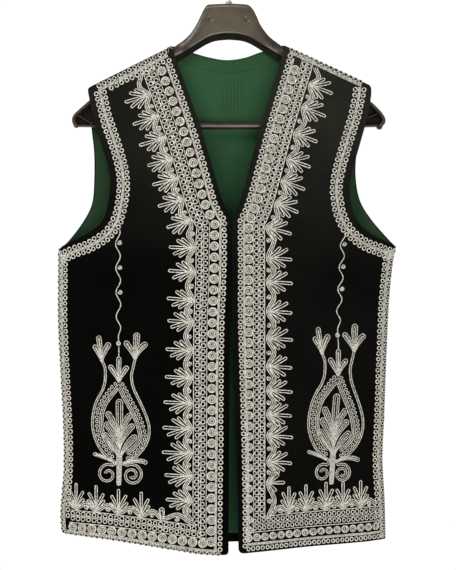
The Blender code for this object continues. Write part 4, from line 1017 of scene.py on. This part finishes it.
    def motif_spot(self, spots):
        """Flat coordinates of points of the vase motif."""
        vase = VASE[self.side]
        spots = np.asarray(spots, float)
        lean = np.interp(spots[:, 1], *zip(*VASE_LEAN[self.side]))
        return self.surface.flat(np.column_stack([vase.x + spots[:, 0] * vase.wide + lean,
                                                  vase.z + spots[:, 1] * vase.tall]))

    def finger(self, work, finger, lift, root_width=0.3):
        """A looped finger: one loop inside another."""
        spine = bent_line((finger.x, finger.z), (finger.x_tip, finger.z_tip), finger.bend, 14)
        for width, short in ((finger.width - 1.6, 0.0), (finger.width - 7.0, 2.6)):
            run = spine[-1] - spine[0]
            cut = 1.0 - short / np.linalg.norm(run)
            inner = along(spine, lengths_along(spine)[-1] * np.linspace(0.0, cut, 14))
            path = loop_round(inner, max(width * root_width, 0.6), max(width, 0.9))
            near_root = np.linalg.norm(path - spine[0], axis=1)
            work.add(self.motif_spot(path), 0.8, lift=0.05 + lift * np.exp(-near_root / 12.0), step=1.6)

    def vase(self):
        """The drop-shaped vase with its stems, tulips, leaves and scrolls."""
        work = Cords(self.surface)
        for way in (-1, 1):
            line = curve_through(VASE_RINGS[way])
            rings(work, self.motif_spot(line), 6.0, 2.1, strand=0.8)
            inward = beside(line) * -way
            for k in range(3):
                work.add(self.motif_spot((line + inward * (4.2 + 2.4 * k))[6 * (k > 0):-4]), 0.8, lift=0.1)
            stem = curve_through(VASE_STEMS[way])
            work.strands(self.motif_spot(stem), 2, 2.4, 0.85, lift=0.1)
        for rank, finger in enumerate(TULIPS):
            self.finger(work, finger, 1.0 + 0.3 * (rank % 3), 0.35)
        for finger in LEAVES:
            self.finger(work, finger, 0.6, 0.5)
        for scroll in SCROLLS:
            way, start = scroll.way, math.radians(60.0 if scroll.way < 0 else 120.0)
            spread = SCROLL_SPREAD[self.side]
            path = spiral((scroll.x * spread, scroll.z), scroll.outer * spread, scroll.inner,
                          scroll.turns, start, -way)
            lead = curve_through([(way * 1.5, -112.0), (way * 5.0, -113.8), tuple(path[0])], 5)
            path = np.vstack([lead[:-1], path])
            work.strands(self.motif_spot(path), 2, 2.5, 0.82, lift=0.1)
        for aside in (-3.0, -1.5, 0.0, 1.5, 3.0):
            stalk = [(aside * 1.2 + 0.3, -104.0), (aside + 0.2, -118.0), (aside * 0.9 - 0.2, -140.0),
                     (aside * 0.5 - 0.4, -145.0)]
            work.add(self.motif_spot(curve_through(stalk, 6)), 0.9, lift=0.5)
        return work

    def spray(self):
        work = Cords(self.surface)
        for rank, finger in enumerate(SPRAY):
            self.finger(work, finger, 0.9 + 0.15 * rank, 0.3)
        for aside in (-1.4, 0.0, 1.4):
            work.add(self.motif_spot(bent_line((aside * 0.6, -106.0), (aside, -60.0), 0.0)), 0.85, lift=1.5)
        return work

    def vine(self, work):
        """The wavy stem from the armhole band down to the bead over the middle tulip."""
        vase = VASE[self.side]
        bead = self.motif_spot([(-0.4, 55.0)])[0]
        top = self.surface.flat([(vase.vine_x, vase.vine_z)])[0]
        share = np.linspace(0.0, 1.0, 90)
        wave = 3.3 * np.sin(2 * math.pi * 4.6 * share + 0.9) * np.minimum(1.0, (1.0 - share) * 8.0)
        line = top + (bead + (0.0, 4.0) - top) * share[:, None] + np.column_stack([wave, np.zeros(90)])
        work.add(line, 0.95, step=2.0)
        work.add(spiral(bead, 3.3, 0.7, 2.3, 1.2), 0.9, step=1.5)
        work.add(self.motif_spot([(-0.4, 51.0), (-0.2, 44.0), (-0.4, 36.0)]), 0.95)
        for fraction in (0.115, 0.333, 0.55):
            spot = top + (bead - top) * fraction + (2.6, 0.0)
            work.add(spiral(spot, 3.2, 0.7, 2.0, 3.1), 0.85, step=1.4)


class Shader:
    """A small helper that wires a material's nodes."""

    def __init__(self, name):
        self.material = bpy.data.materials.new(name)
        self.material.use_nodes = True
        self.nodes = self.material.node_tree.nodes
        self.links = self.material.node_tree.links
        self.shader = self.nodes["Principled BSDF"]

    def node(self, kind, **settings):
        node = self.nodes.new(kind)
        for key, value in settings.items():
            if hasattr(node, key):
                setattr(node, key, value)
            else:
                node.inputs[key.replace("_", " ").title()].default_value = value
        return node

    def link(self, source, target):
        self.links.new(source, target)

    def noise(self, scale, detail=3.0, coords=None):
        node = self.node("ShaderNodeTexNoise", scale=scale, detail=detail)
        self.link((coords or self.coords())[0], node.inputs["Vector"])
        return node.outputs["Fac"]

    def coords(self, output="Object", scale=(1.0, 1.0, 1.0)):
        place = self.node("ShaderNodeTexCoord")
        mapping = self.node("ShaderNodeMapping")
        mapping.inputs["Scale"].default_value = scale
        self.link(place.outputs[output], mapping.inputs["Vector"])
        return mapping.outputs["Vector"], mapping

    def ramp(self, source, stops):
        node = self.node("ShaderNodeValToRGB")
        while len(node.color_ramp.elements) < len(stops):
            node.color_ramp.elements.new(0.5)
        for element, (position, colour) in zip(node.color_ramp.elements, stops):
            element.position = position
            element.color = (*colour, 1.0)
        self.link(source, node.inputs["Fac"])
        return node.outputs["Color"]

    def math(self, kind, first, second=None):
        node = self.node("ShaderNodeMath", operation=kind)
        self.link(first, node.inputs[0])
        if isinstance(second, (int, float)):
            node.inputs[1].default_value = second
        elif second is not None:
            self.link(second, node.inputs[1])
        return node.outputs[0]

    def times(self, first, second):
        """Two colours multiplied."""
        node = self.node("ShaderNodeMix", data_type="RGBA", blend_type="MULTIPLY")
        node.inputs[0].default_value = 1.0
        self.link(first, node.inputs[6])
        self.link(second, node.inputs[7])
        return node.outputs[2]

    def bump(self, height, distance, strength=1.0, after=None):
        node = self.node("ShaderNodeBump")
        node.inputs["Strength"].default_value = strength
        node.inputs["Distance"].default_value = distance
        self.link(height, node.inputs["Height"])
        if after is not None:
            self.link(after, node.inputs["Normal"])
        return node.outputs["Normal"]

    def set(self, **values):
        for key, value in values.items():
            self.shader.inputs[key.replace("_", " ")].default_value = value


def add_up(shader, first, second, share):
    """first + second * share, for heights."""
    node = shader.node("ShaderNodeMath", operation="MULTIPLY_ADD")
    shader.link(second, node.inputs[0])
    node.inputs[1].default_value = share
    shader.link(first, node.inputs[2])
    return node.outputs[0]


def velvet_material(name, tone):
    """Black pile with painted light: its colour is multiplied by tone.low low down, rising to tone.high at the
    shoulders, as if lit from above.
    """
    s = Shader(name)
    cloud = s.noise(14.0, 4.0)
    nap = s.noise(420.0, 2.0)
    colour = s.ramp(add_up(s, cloud, nap, 0.35), [(0.35, (0.0015, 0.0017, 0.0011)),
                                                  (0.95, (0.0047, 0.0049, 0.0036))])
    # painted light: the colour grows lighter with height, from tone.low to tone.high
    split = s.node("ShaderNodeSeparateXYZ")
    s.link(s.coords()[0], split.inputs["Vector"])
    height = s.math("ADD", split.outputs["Z"], 0.85)
    colour = s.times(colour, s.ramp(height, [(0.1, (0.8 * tone.low,) * 3), (0.42, (tone.low,) * 3),
                                             (0.72, (tone.high,) * 3)]))
    s.link(colour, s.shader.inputs["Base Color"])
    pile = s.noise(1500.0, 2.0)
    s.link(s.bump(add_up(s, pile, cloud, 0.6), 0.0006, 0.7), s.shader.inputs["Normal"])
    s.set(Roughness=0.92, Sheen_Weight=0.02 * tone.low + 0.008, Sheen_Roughness=0.42,
          Sheen_Tint=(0.62, 0.6, 0.5, 1.0))
    s.shader.inputs["Specular IOR Level"].default_value = 0.04
    return s.material


def weave(s, scale):
    """Fine crossed threads as a height."""
    waves = []
    for direction in ("X", "Z"):
        wave = s.node("ShaderNodeTexWave", wave_type="BANDS", bands_direction=direction)
        wave.inputs["Scale"].default_value = scale
        wave.inputs["Distortion"].default_value = 0.6
        s.link(s.coords()[0], wave.inputs["Vector"])
        waves.append(wave.outputs["Fac"])
    return add_up(s, waves[0], waves[1], 0.8)


def lining_material():
    s = Shader("green_lining")
    cloud = s.noise(9.0, 4.0)
    threads = weave(s, 420.0)
    colour = s.ramp(add_up(s, cloud, threads, 0.16), [(0.3, (0.0068, 0.0405, 0.0117)),
                                                      (0.9, (0.0143, 0.068, 0.022))])
    split = s.node("ShaderNodeSeparateXYZ")
    s.link(s.coords()[0], split.inputs["Vector"])
    across, height = split.outputs["X"], split.outputs["Z"]
    # painted shade: the lining is darker and yellower more than 0.15 m out from the middle, towards the
    # armholes
    out = s.ramp(s.math("ABSOLUTE", across), [(0.14, (1.0, 1.0, 1.0)), (0.17, (0.6, 0.52, 0.42))])
    colour = s.times(colour, out)
    # the facing seam under the neck edge
    curve = s.math("MULTIPLY", s.math("POWER", s.math("ABSOLUTE", across), 2.0), -3.4)
    above = s.math("ADD", s.math("ADD", height, 0.148), curve)
    place = s.math("ADD", s.math("MULTIPLY", above, 40.0), 0.5)
    facing = s.ramp(place, [(0.45, (1.0, 1.0, 1.0)), (0.5, (0.55, 0.55, 0.5)), (0.55, (1.0, 0.98, 0.84)),
                            (0.9, (0.94, 0.88, 0.78))])
    colour = s.times(colour, facing)
    # painted shade of fine tucks: dark bands that fade out round the middle of the neck
    tuck_shade_bands = s.node("ShaderNodeTexWave", wave_type="BANDS", bands_direction="X")
    tuck_shade_bands.inputs["Scale"].default_value = 62.8
    s.link(s.coords()[0], tuck_shade_bands.inputs["Vector"])
    area, mapping = s.coords("Object", (40.0, 0.0, 22.0))
    mapping.inputs["Location"].default_value = (-0.24, 0.0, 4.07)
    fade = s.node("ShaderNodeTexGradient", gradient_type="SPHERICAL")
    s.link(area, fade.inputs["Vector"])
    tuck_shade = s.math("MULTIPLY", s.math("POWER", tuck_shade_bands.outputs["Fac"], 4.0), fade.outputs["Fac"])
    colour = s.times(colour, s.ramp(tuck_shade, [(0.0, (1.0, 1.0, 1.0)), (0.8, (0.45, 0.45, 0.45))]))
    s.link(colour, s.shader.inputs["Base Color"])
    fine = s.bump(add_up(s, threads, cloud, 2.0), 0.0002, 0.5)
    s.link(s.bump(s.noise(55.0, 3.0), 0.0016, 0.5, fine), s.shader.inputs["Normal"])
    s.set(Roughness=0.5)
    s.shader.inputs["Specular IOR Level"].default_value = 0.16
    return s.material


def cord_material(name, tone):
    """Silver-cream twisted cord, with a painted highlight on its crown and painted shade down its sides where
    it meets its neighbours.
    """
    s = Shader(name)
    coords, _ = s.coords("UV")
    split = s.node("ShaderNodeSeparateXYZ")
    s.link(coords, split.inputs["Vector"])
    round_it = s.math("MULTIPLY", split.outputs["Y"], 2 * math.pi)
    # painted highlight on the crown of each strand; its sides stay dark as painted shade
    crown = s.math("MAXIMUM", s.math("SINE", round_it), 0.0)
    turn = s.math("ADD", s.math("MULTIPLY", split.outputs["X"], 2 * math.pi / 2.3), round_it)
    twist = s.math("SINE", turn)
    patch = s.noise(420.0, 3.0)
    shade = add_up(s, add_up(s, s.math("MULTIPLY", crown, 0.42), twist, 0.08), patch, 0.9)
    # the darkest stops are painted shade between the cords; tone darkens them all as painted shade
    stops = [(0.38, (0.03, 0.027, 0.022)), (0.62, (0.19, 0.175, 0.142)), (0.8, (0.47, 0.445, 0.375)),
             (0.95, (0.78, 0.75, 0.66))]
    colour = s.ramp(shade, [(place, tuple(tone * part for part in shade_of)) for place, shade_of in stops])
    s.link(colour, s.shader.inputs["Base Color"])
    s.link(s.bump(add_up(s, s.noise(900.0, 2.0), twist, 0.4), 0.0003, 0.8), s.shader.inputs["Normal"])
    s.set(Roughness=0.42)
    s.shader.inputs["Specular IOR Level"].default_value = 0.4
    return s.material


def recess_shade_material():
    """The hanger's hollow underside: painted shade, a plastic darker than the body's and nearly without gloss.
    """
    s = Shader("hanger_recess_painted_shade")
    s.link(s.ramp(s.noise(60.0), [(0.3, (0.005, 0.004, 0.003)), (0.8, (0.011, 0.009, 0.006))]),
           s.shader.inputs["Base Color"])
    s.set(Roughness=0.7)
    s.shader.inputs["Specular IOR Level"].default_value = 0.1
    return s.material


def plastic_material():
    s = Shader("hanger_plastic")
    cloud = s.noise(30.0, 3.0)
    colour = s.ramp(cloud, [(0.3, (0.03, 0.0245, 0.0125)), (0.8, (0.062, 0.053, 0.03))])
    # painted highlight and shade: the plate is painted lighter in its middle, as a soft glow of light, and
    # darker and redder out towards the arm ends
    area, mapping = s.coords("Object", (14.0, 0.0, 22.0))
    mapping.inputs["Location"].default_value = (0.0, 0.0, 1.7)
    painted_glow = s.node("ShaderNodeTexGradient", gradient_type="SPHERICAL")
    s.link(area, painted_glow.inputs["Vector"])
    colour = s.times(colour, s.ramp(painted_glow.outputs["Fac"], [(0.0, (0.46, 0.27, 0.2)),
                                                          (0.9, (1.65, 1.55, 1.35))]))
    s.link(colour, s.shader.inputs["Base Color"])
    rough = s.ramp(s.noise(80.0, 3.0), [(0.3, (0.3,) * 3), (0.8, (0.42,) * 3)])
    s.link(rough, s.shader.inputs["Roughness"])
    fine = s.bump(s.noise(700.0, 2.0), 0.0001, 0.25)
    s.link(s.bump(s.noise(38.0, 2.0), 0.002, 0.2, fine), s.shader.inputs["Normal"])
    s.set(Coat_Weight=0.2, Coat_Roughness=0.12)
    s.shader.inputs["Specular IOR Level"].default_value = 0.34
    return s.material


def steel_material():
    s = Shader("hook_steel")
    colour = s.ramp(s.noise(60.0, 3.0), [(0.3, (0.5, 0.5, 0.49)), (0.8, (0.66, 0.66, 0.65))])
    s.link(colour, s.shader.inputs["Base Color"])
    rough = s.ramp(s.noise(220.0, 3.0), [(0.3, (0.2,) * 3), (0.8, (0.34,) * 3)])
    s.link(rough, s.shader.inputs["Roughness"])
    s.set(Metallic=1.0)
    return s.material


def stage_material(name, colour):
    s = Shader(name)
    s.link(s.ramp(s.noise(3.0, 2.0), [(0.3, colour), (0.8, colour)]), s.shader.inputs["Base Color"])
    s.set(Roughness=0.9)
    return s.material


def grid_points(surface, flat, neck_width):
    points = laid_panel(surface, flat, neck_width)
    return points, grid_normals(points, surface.facing)


def turned_edge(flat, width=12.0):
    """For each face, whether it lies inside the turned velvet edge."""
    u, z = flat[..., 0], flat[..., 1]
    from_sides = np.minimum(np.abs(u - u[:, :1]), np.abs(u - u[:, -1:]))
    from_ends = np.minimum(z - z[:1], np.abs(z[-1:] - z))
    inside = (np.minimum(from_sides, from_ends) > width).astype(float)
    return np.vstack([inside, np.zeros((3, flat.shape[1]))])


def make_front(side, surface, velvet, lining):
    name = "right" if side < 0 else "left"
    flat = front_flat(surface, side)
    outer, normals = grid_points(surface, flat, 0.0)
    obj = shell(f"velvet_front_{name}", outer, outer - normals * VELVET, trim=turned_edge(flat))
    obj.data.materials.append(velvet)
    obj.data.materials.append(lining)
    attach(obj, "root")
    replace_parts(obj, f"front_{name}")
    return obj


def make_back(surface, velvet, lining):
    flat = back_flat(surface)
    outer, normals = grid_points(surface, flat, NECK_WIDTH)
    obj = shell("velvet_back", outer, outer - normals * VELVET)
    obj.data.materials.append(velvet)
    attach(obj, "root")
    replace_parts(obj, "back")
    inset = 2
    first = int(np.argmax(flat[:, 60, 1] - flat[0, 60, 1] > LINING_HEM))
    points = outer[first:, inset:-inset].copy()
    shoulders = smooth_step((np.abs(points[-1, :, 0]) - 74.0) / 6.0)
    points[-4:, :, 2] -= shoulders[None]
    normals = normals[first:, inset:-inset]
    wrinkles = np.clip(crease_height(LINING_CREASES, points[..., 0], points[..., 2]) + 0.25, 0.0,
                       None)[..., None]
    near = points - normals * (VELVET + LINING_GAP + wrinkles)
    far = points - normals * (VELVET + LINING_GAP + LINING + wrinkles)
    inner = shell("lining_back", near, far)
    inner.data.materials.append(lining)
    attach(inner, "root")
    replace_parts(inner, "back_lining")


class Loft:
    """Closed forms, each given as rings of points, collected and then made as one mesh."""

    def __init__(self):
        self.verts = []
        self.faces = []
        self.in_recess_shade = []

    def add(self, rings, recess_shade=(), ends=False):
        """After the rings come the places round a ring that lie in the hollow and take the painted shade, and
        whether both ends do.
        """
        count, sides = rings.shape[:2]
        number = len(self.verts) + np.arange(count * sides).reshape(count, sides)
        self.verts.extend(rings.reshape(-1, 3) * MM)
        nexts = np.roll(number, -1, axis=1)
        for first, first_next, second, second_next in zip(number, nexts, number[1:], nexts[1:]):
            self.faces.extend(zip(first, first_next, second_next, second))
            self.in_recess_shade.extend(place in recess_shade for place in range(sides))
        self.faces += [tuple(number[0, ::-1]), tuple(number[-1])]
        self.in_recess_shade += [ends, ends]

    def build(self, name, material, recess_shade):
        mesh = bpy.data.meshes.new(name)
        mesh.from_pydata(self.verts, [], self.faces)
        mesh.polygons.foreach_set("material_index", np.array(self.in_recess_shade, np.int32))
        form = bmesh.new()
        form.from_mesh(mesh)
        bmesh.ops.recalc_face_normals(form, faces=form.faces)
        form.to_mesh(mesh)
        form.free()
        mesh.shade_smooth()
        mesh.set_sharp_from_angle(angle=math.radians(42))
        mesh.materials.append(material)
        mesh.materials.append(recess_shade)
        obj = bpy.data.objects.new(name, mesh)
        bpy.context.scene.collection.objects.link(obj)
        return obj


def rod(spots, radius, deep):
    """Rings of a bar with rounded ends through points in the hanger's plane. Deep is its half depth."""
    flat = curve_through(spots, 5)
    line = np.column_stack([flat[:, 0], np.zeros(len(flat)), flat[:, 1]])
    run = np.gradient(line, axis=0)
    run /= np.linalg.norm(run, axis=1)[:, None]
    turn = np.radians([78.0, 52.0, 26.0])[:, None]
    start = line[0] - run[0] * radius * np.sin(turn)
    end = line[-1] + run[-1] * radius * np.sin(turn[::-1])
    size = np.concatenate([np.cos(turn[:, 0]), np.ones(len(line)), np.cos(turn[::-1, 0])])[:, None, None]
    line = np.vstack([start, line, end])
    run = np.vstack([run[:1].repeat(3, axis=0), run, run[-1:].repeat(3, axis=0)])
    across = np.cross(run, (0.0, 1.0, 0.0))
    angles = np.arange(14) * 2 * math.pi / 14
    out = np.cos(angles)[None, :, None] * across[:, None] * radius
    back = np.sin(angles)[None, :, None] * np.array([0.0, 1.0, 0.0]) * deep
    return line[:, None] + (out + back) * size


def hanger_section(x):
    """A section of the hanger: over its rounded top, down the face, in at the lip and down the web."""
    side, out = (-1 if x < 0 else 1), abs(x)
    curves = (HANGER_TOP_CURVE[side], *HANGER_CURVES)
    top, lip, bottom, deep = (np.interp(out, curve[:, 0], curve[:, 1]) for curve in curves)
    corner = 2.8
    angles = np.radians(np.linspace(90.0, 0.0, 7))
    over = np.column_stack([deep + corner * (np.cos(angles) - 1.0), top + corner * (np.sin(angles) - 1.0)])
    heights = np.linspace(top - corner, lip + 1.4, 28)[1:]
    crown = 0.9 * np.sin(math.pi * (heights - lip) / (top - lip)) - 0.9
    face = np.column_stack([deep + crown, heights])
    for dimple in DIMPLES:
        away = np.hypot(x - dimple.x, heights - dimple.z)
        face[:, 0] -= 2.4 * np.exp(-(away / 2.4) ** 4)
    foot = np.array([(deep - 1.2, lip + 0.5), (deep - 2.0, lip)])
    wall = np.array([(3.4 - deep, lip + 0.4), (1.6 - deep, bottom + 0.6), (0.8 - deep, bottom),
                     (-deep, bottom + 0.6)])
    front = np.vstack([over, face, foot, wall]) * (-1.0, 1.0)
    loop = np.vstack([front, over[::-1]])
    return np.column_stack([np.full(len(loop), x), loop])


def make_hanger(material, recess_shade):
    """The moulded body and its open arm ends."""
    hanger = Loft()
    # the wall under the lip takes the painted shade of the hollow
    hanger.add(np.array([hanger_section(x) for x in np.arange(-186.0, 186.1, 1.2)]), recess_shade=range(35, 38))
    for side in (-1, 1):
        def mirrored(spots):
            return [(side * spot.x, spot.z) for spot in spots]
        hanger.add(rod(mirrored(ARM_RIM[side]), 3.8, 9.0))
        hanger.add(rod(mirrored(ARM_FOOT), 2.0, 7.0))
        hanger.add(rod(mirrored(ARM_STRUT[side]), 2.0, 5.0))
        knob = ARM_KNOB[side]
        hanger.add(rod(mirrored([knob, Spot(knob.x + 0.8, knob.z)]), 4.0, 9.4))
        web = np.array(mirrored([*ARM_RIM[side], ARM_FOOT[-1]]))
        faces = [np.column_stack([web[:, 0], np.full(len(web), y), web[:, 1]]) for y in (4.0, 6.0)]
        # the web's flat faces take the painted shade of the hollow
        hanger.add(np.array(faces), ends=True)
    obj = hanger.build("moulded_hanger", material, recess_shade)
    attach(obj, "root")
    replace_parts(obj, "hanger_body")


def make_camera():
    data = bpy.data.cameras.new("camera")
    data.lens = LENS
    data.sensor_width = 36.0
    camera = bpy.data.objects.new("camera", data)
    camera.location = (CAMERA_X * MM, CAMERA_Y * MM, CAMERA_Z * MM)
    camera.rotation_euler = (math.pi / 2, 0.0, 0.0)
    bpy.context.scene.collection.objects.link(camera)
    bpy.context.scene.camera = camera


def make_light(name, kind, location, target, size, energy, colour=(1.0, 1.0, 1.0)):
    data = bpy.data.lights.new(name, kind)
    data.energy = energy
    data.color = colour
    if kind == "AREA":
        data.shape = "RECTANGLE"
        data.size, data.size_y = size
    light = bpy.data.objects.new(name, data)
    light.location = location
    light.rotation_mode = "QUATERNION"
    light.rotation_quaternion = (Vector(target) - Vector(location)).to_track_quat("-Z", "Y")
    bpy.context.scene.collection.objects.link(light)


def make_stage():
    """A pale floor under the vest, a pale surround and soft lights."""
    angles = np.linspace(0.0, 2 * math.pi, 96, endpoint=False)
    rim = np.column_stack([2350.0 * np.cos(angles), 2350.0 * np.sin(angles), np.full(96, -1300.0)])
    mesh = bpy.data.meshes.new("floor")
    mesh.from_pydata([tuple(p * MM) for p in rim], [], [tuple(range(96))])
    floor = bpy.data.objects.new("floor", mesh)
    mesh.materials.append(stage_material("pale_floor", (0.86, 0.86, 0.855)))
    bpy.context.scene.collection.objects.link(floor)
    world = bpy.data.worlds.new("studio")
    bpy.context.scene.world = world
    world.use_nodes = True
    nodes, links = world.node_tree.nodes, world.node_tree.links
    place, split = nodes.new("ShaderNodeTexCoord"), nodes.new("ShaderNodeSeparateXYZ")
    links.new(place.outputs["Generated"], split.inputs["Vector"])
    share = nodes.new("ShaderNodeMapRange")
    for socket, value in (("From Min", 0.72), ("From Max", 0.94), ("To Min", 0.5), ("To Max", 1.02)):
        share.inputs[socket].default_value = value
    links.new(split.outputs["Y"], share.inputs["Value"])
    links.new(share.outputs["Result"], nodes["Background"].inputs["Strength"])
    nodes["Background"].inputs["Color"].default_value = (1.0, 1.0, 1.0, 1.0)
    make_light("key", "AREA", (-1.2, -2.4, 1.1), (0.0, 0.0, -0.4), (1.2, 1.2), 44.0)
    make_light("fill", "AREA", (0.5, -2.6, -1.0), (0.0, 0.0, -0.5), (1.4, 1.2), 50.0)
    bpy.context.scene.view_settings.view_transform = "Standard"


def main():
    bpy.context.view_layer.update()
    make_camera()
    lining = lining_material()
    for side, name in ((-1, "right"), (1, "left")):
        # the left front's cords are a copy darkened by painted shade
        cord = cord_material(f"couched_cord_{name}", CORD_SHADE[side])
        motif_cord = cord_material(f"motif_cord_{name}", CORD_SHADE[side] * MOTIF_TONE)
        hem = curve_through(FRONT_HEM[side])
        surface = Surface(-1, FRONT_DEPTH, FRONT_FOLDS[side], FRONT_CREASES[side], hem, FRONT_ROLL[side])
        # each front's velvet is a copy with its own painted light, stronger on the left front
        velvet = velvet_material(f"black_velvet_{name}", VELVET_PAINTED_LIGHT[side])
        make_front(side, surface, velvet, lining)
        work = FrontWork(surface, side)
        border = work.border().build(f"cords_border_{name}", cord)
        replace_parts(border, f"border_cords_{name}")
        work.narrow_bands().build(f"cords_bands_{name}", cord)
        work.palmettes().build(f"cords_palmettes_{name}", cord)
        vase = work.vase()
        work.vine(vase)
        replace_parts(vase.build(f"cords_vase_{name}", motif_cord), f"vase_cords_{name}")
        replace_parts(work.spray().build(f"cords_spray_{name}", motif_cord), f"spray_cords_{name}")
    surface = Surface(1, BACK_DEPTH, BACK_FOLDS, BACK_CREASES, curve_through(BACK_HEM))
    make_back(surface, velvet_material("black_velvet_back", BACK_PAINTED_LIGHT), lining)
    plastic, steel = plastic_material(), steel_material()
    make_hanger(plastic, recess_shade_material())
    for node, material in (("hanger_body", plastic), ("trouser_bar", plastic), ("hanger_hook", steel)):
        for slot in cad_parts[node].material_slots:
            slot.material = material
    make_stage()


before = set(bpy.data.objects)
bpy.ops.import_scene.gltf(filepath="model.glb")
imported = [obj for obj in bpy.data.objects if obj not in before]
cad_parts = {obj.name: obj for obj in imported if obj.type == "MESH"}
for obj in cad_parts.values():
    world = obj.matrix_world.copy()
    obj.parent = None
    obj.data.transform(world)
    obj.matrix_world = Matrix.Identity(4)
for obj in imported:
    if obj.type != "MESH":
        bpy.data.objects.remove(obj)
main()
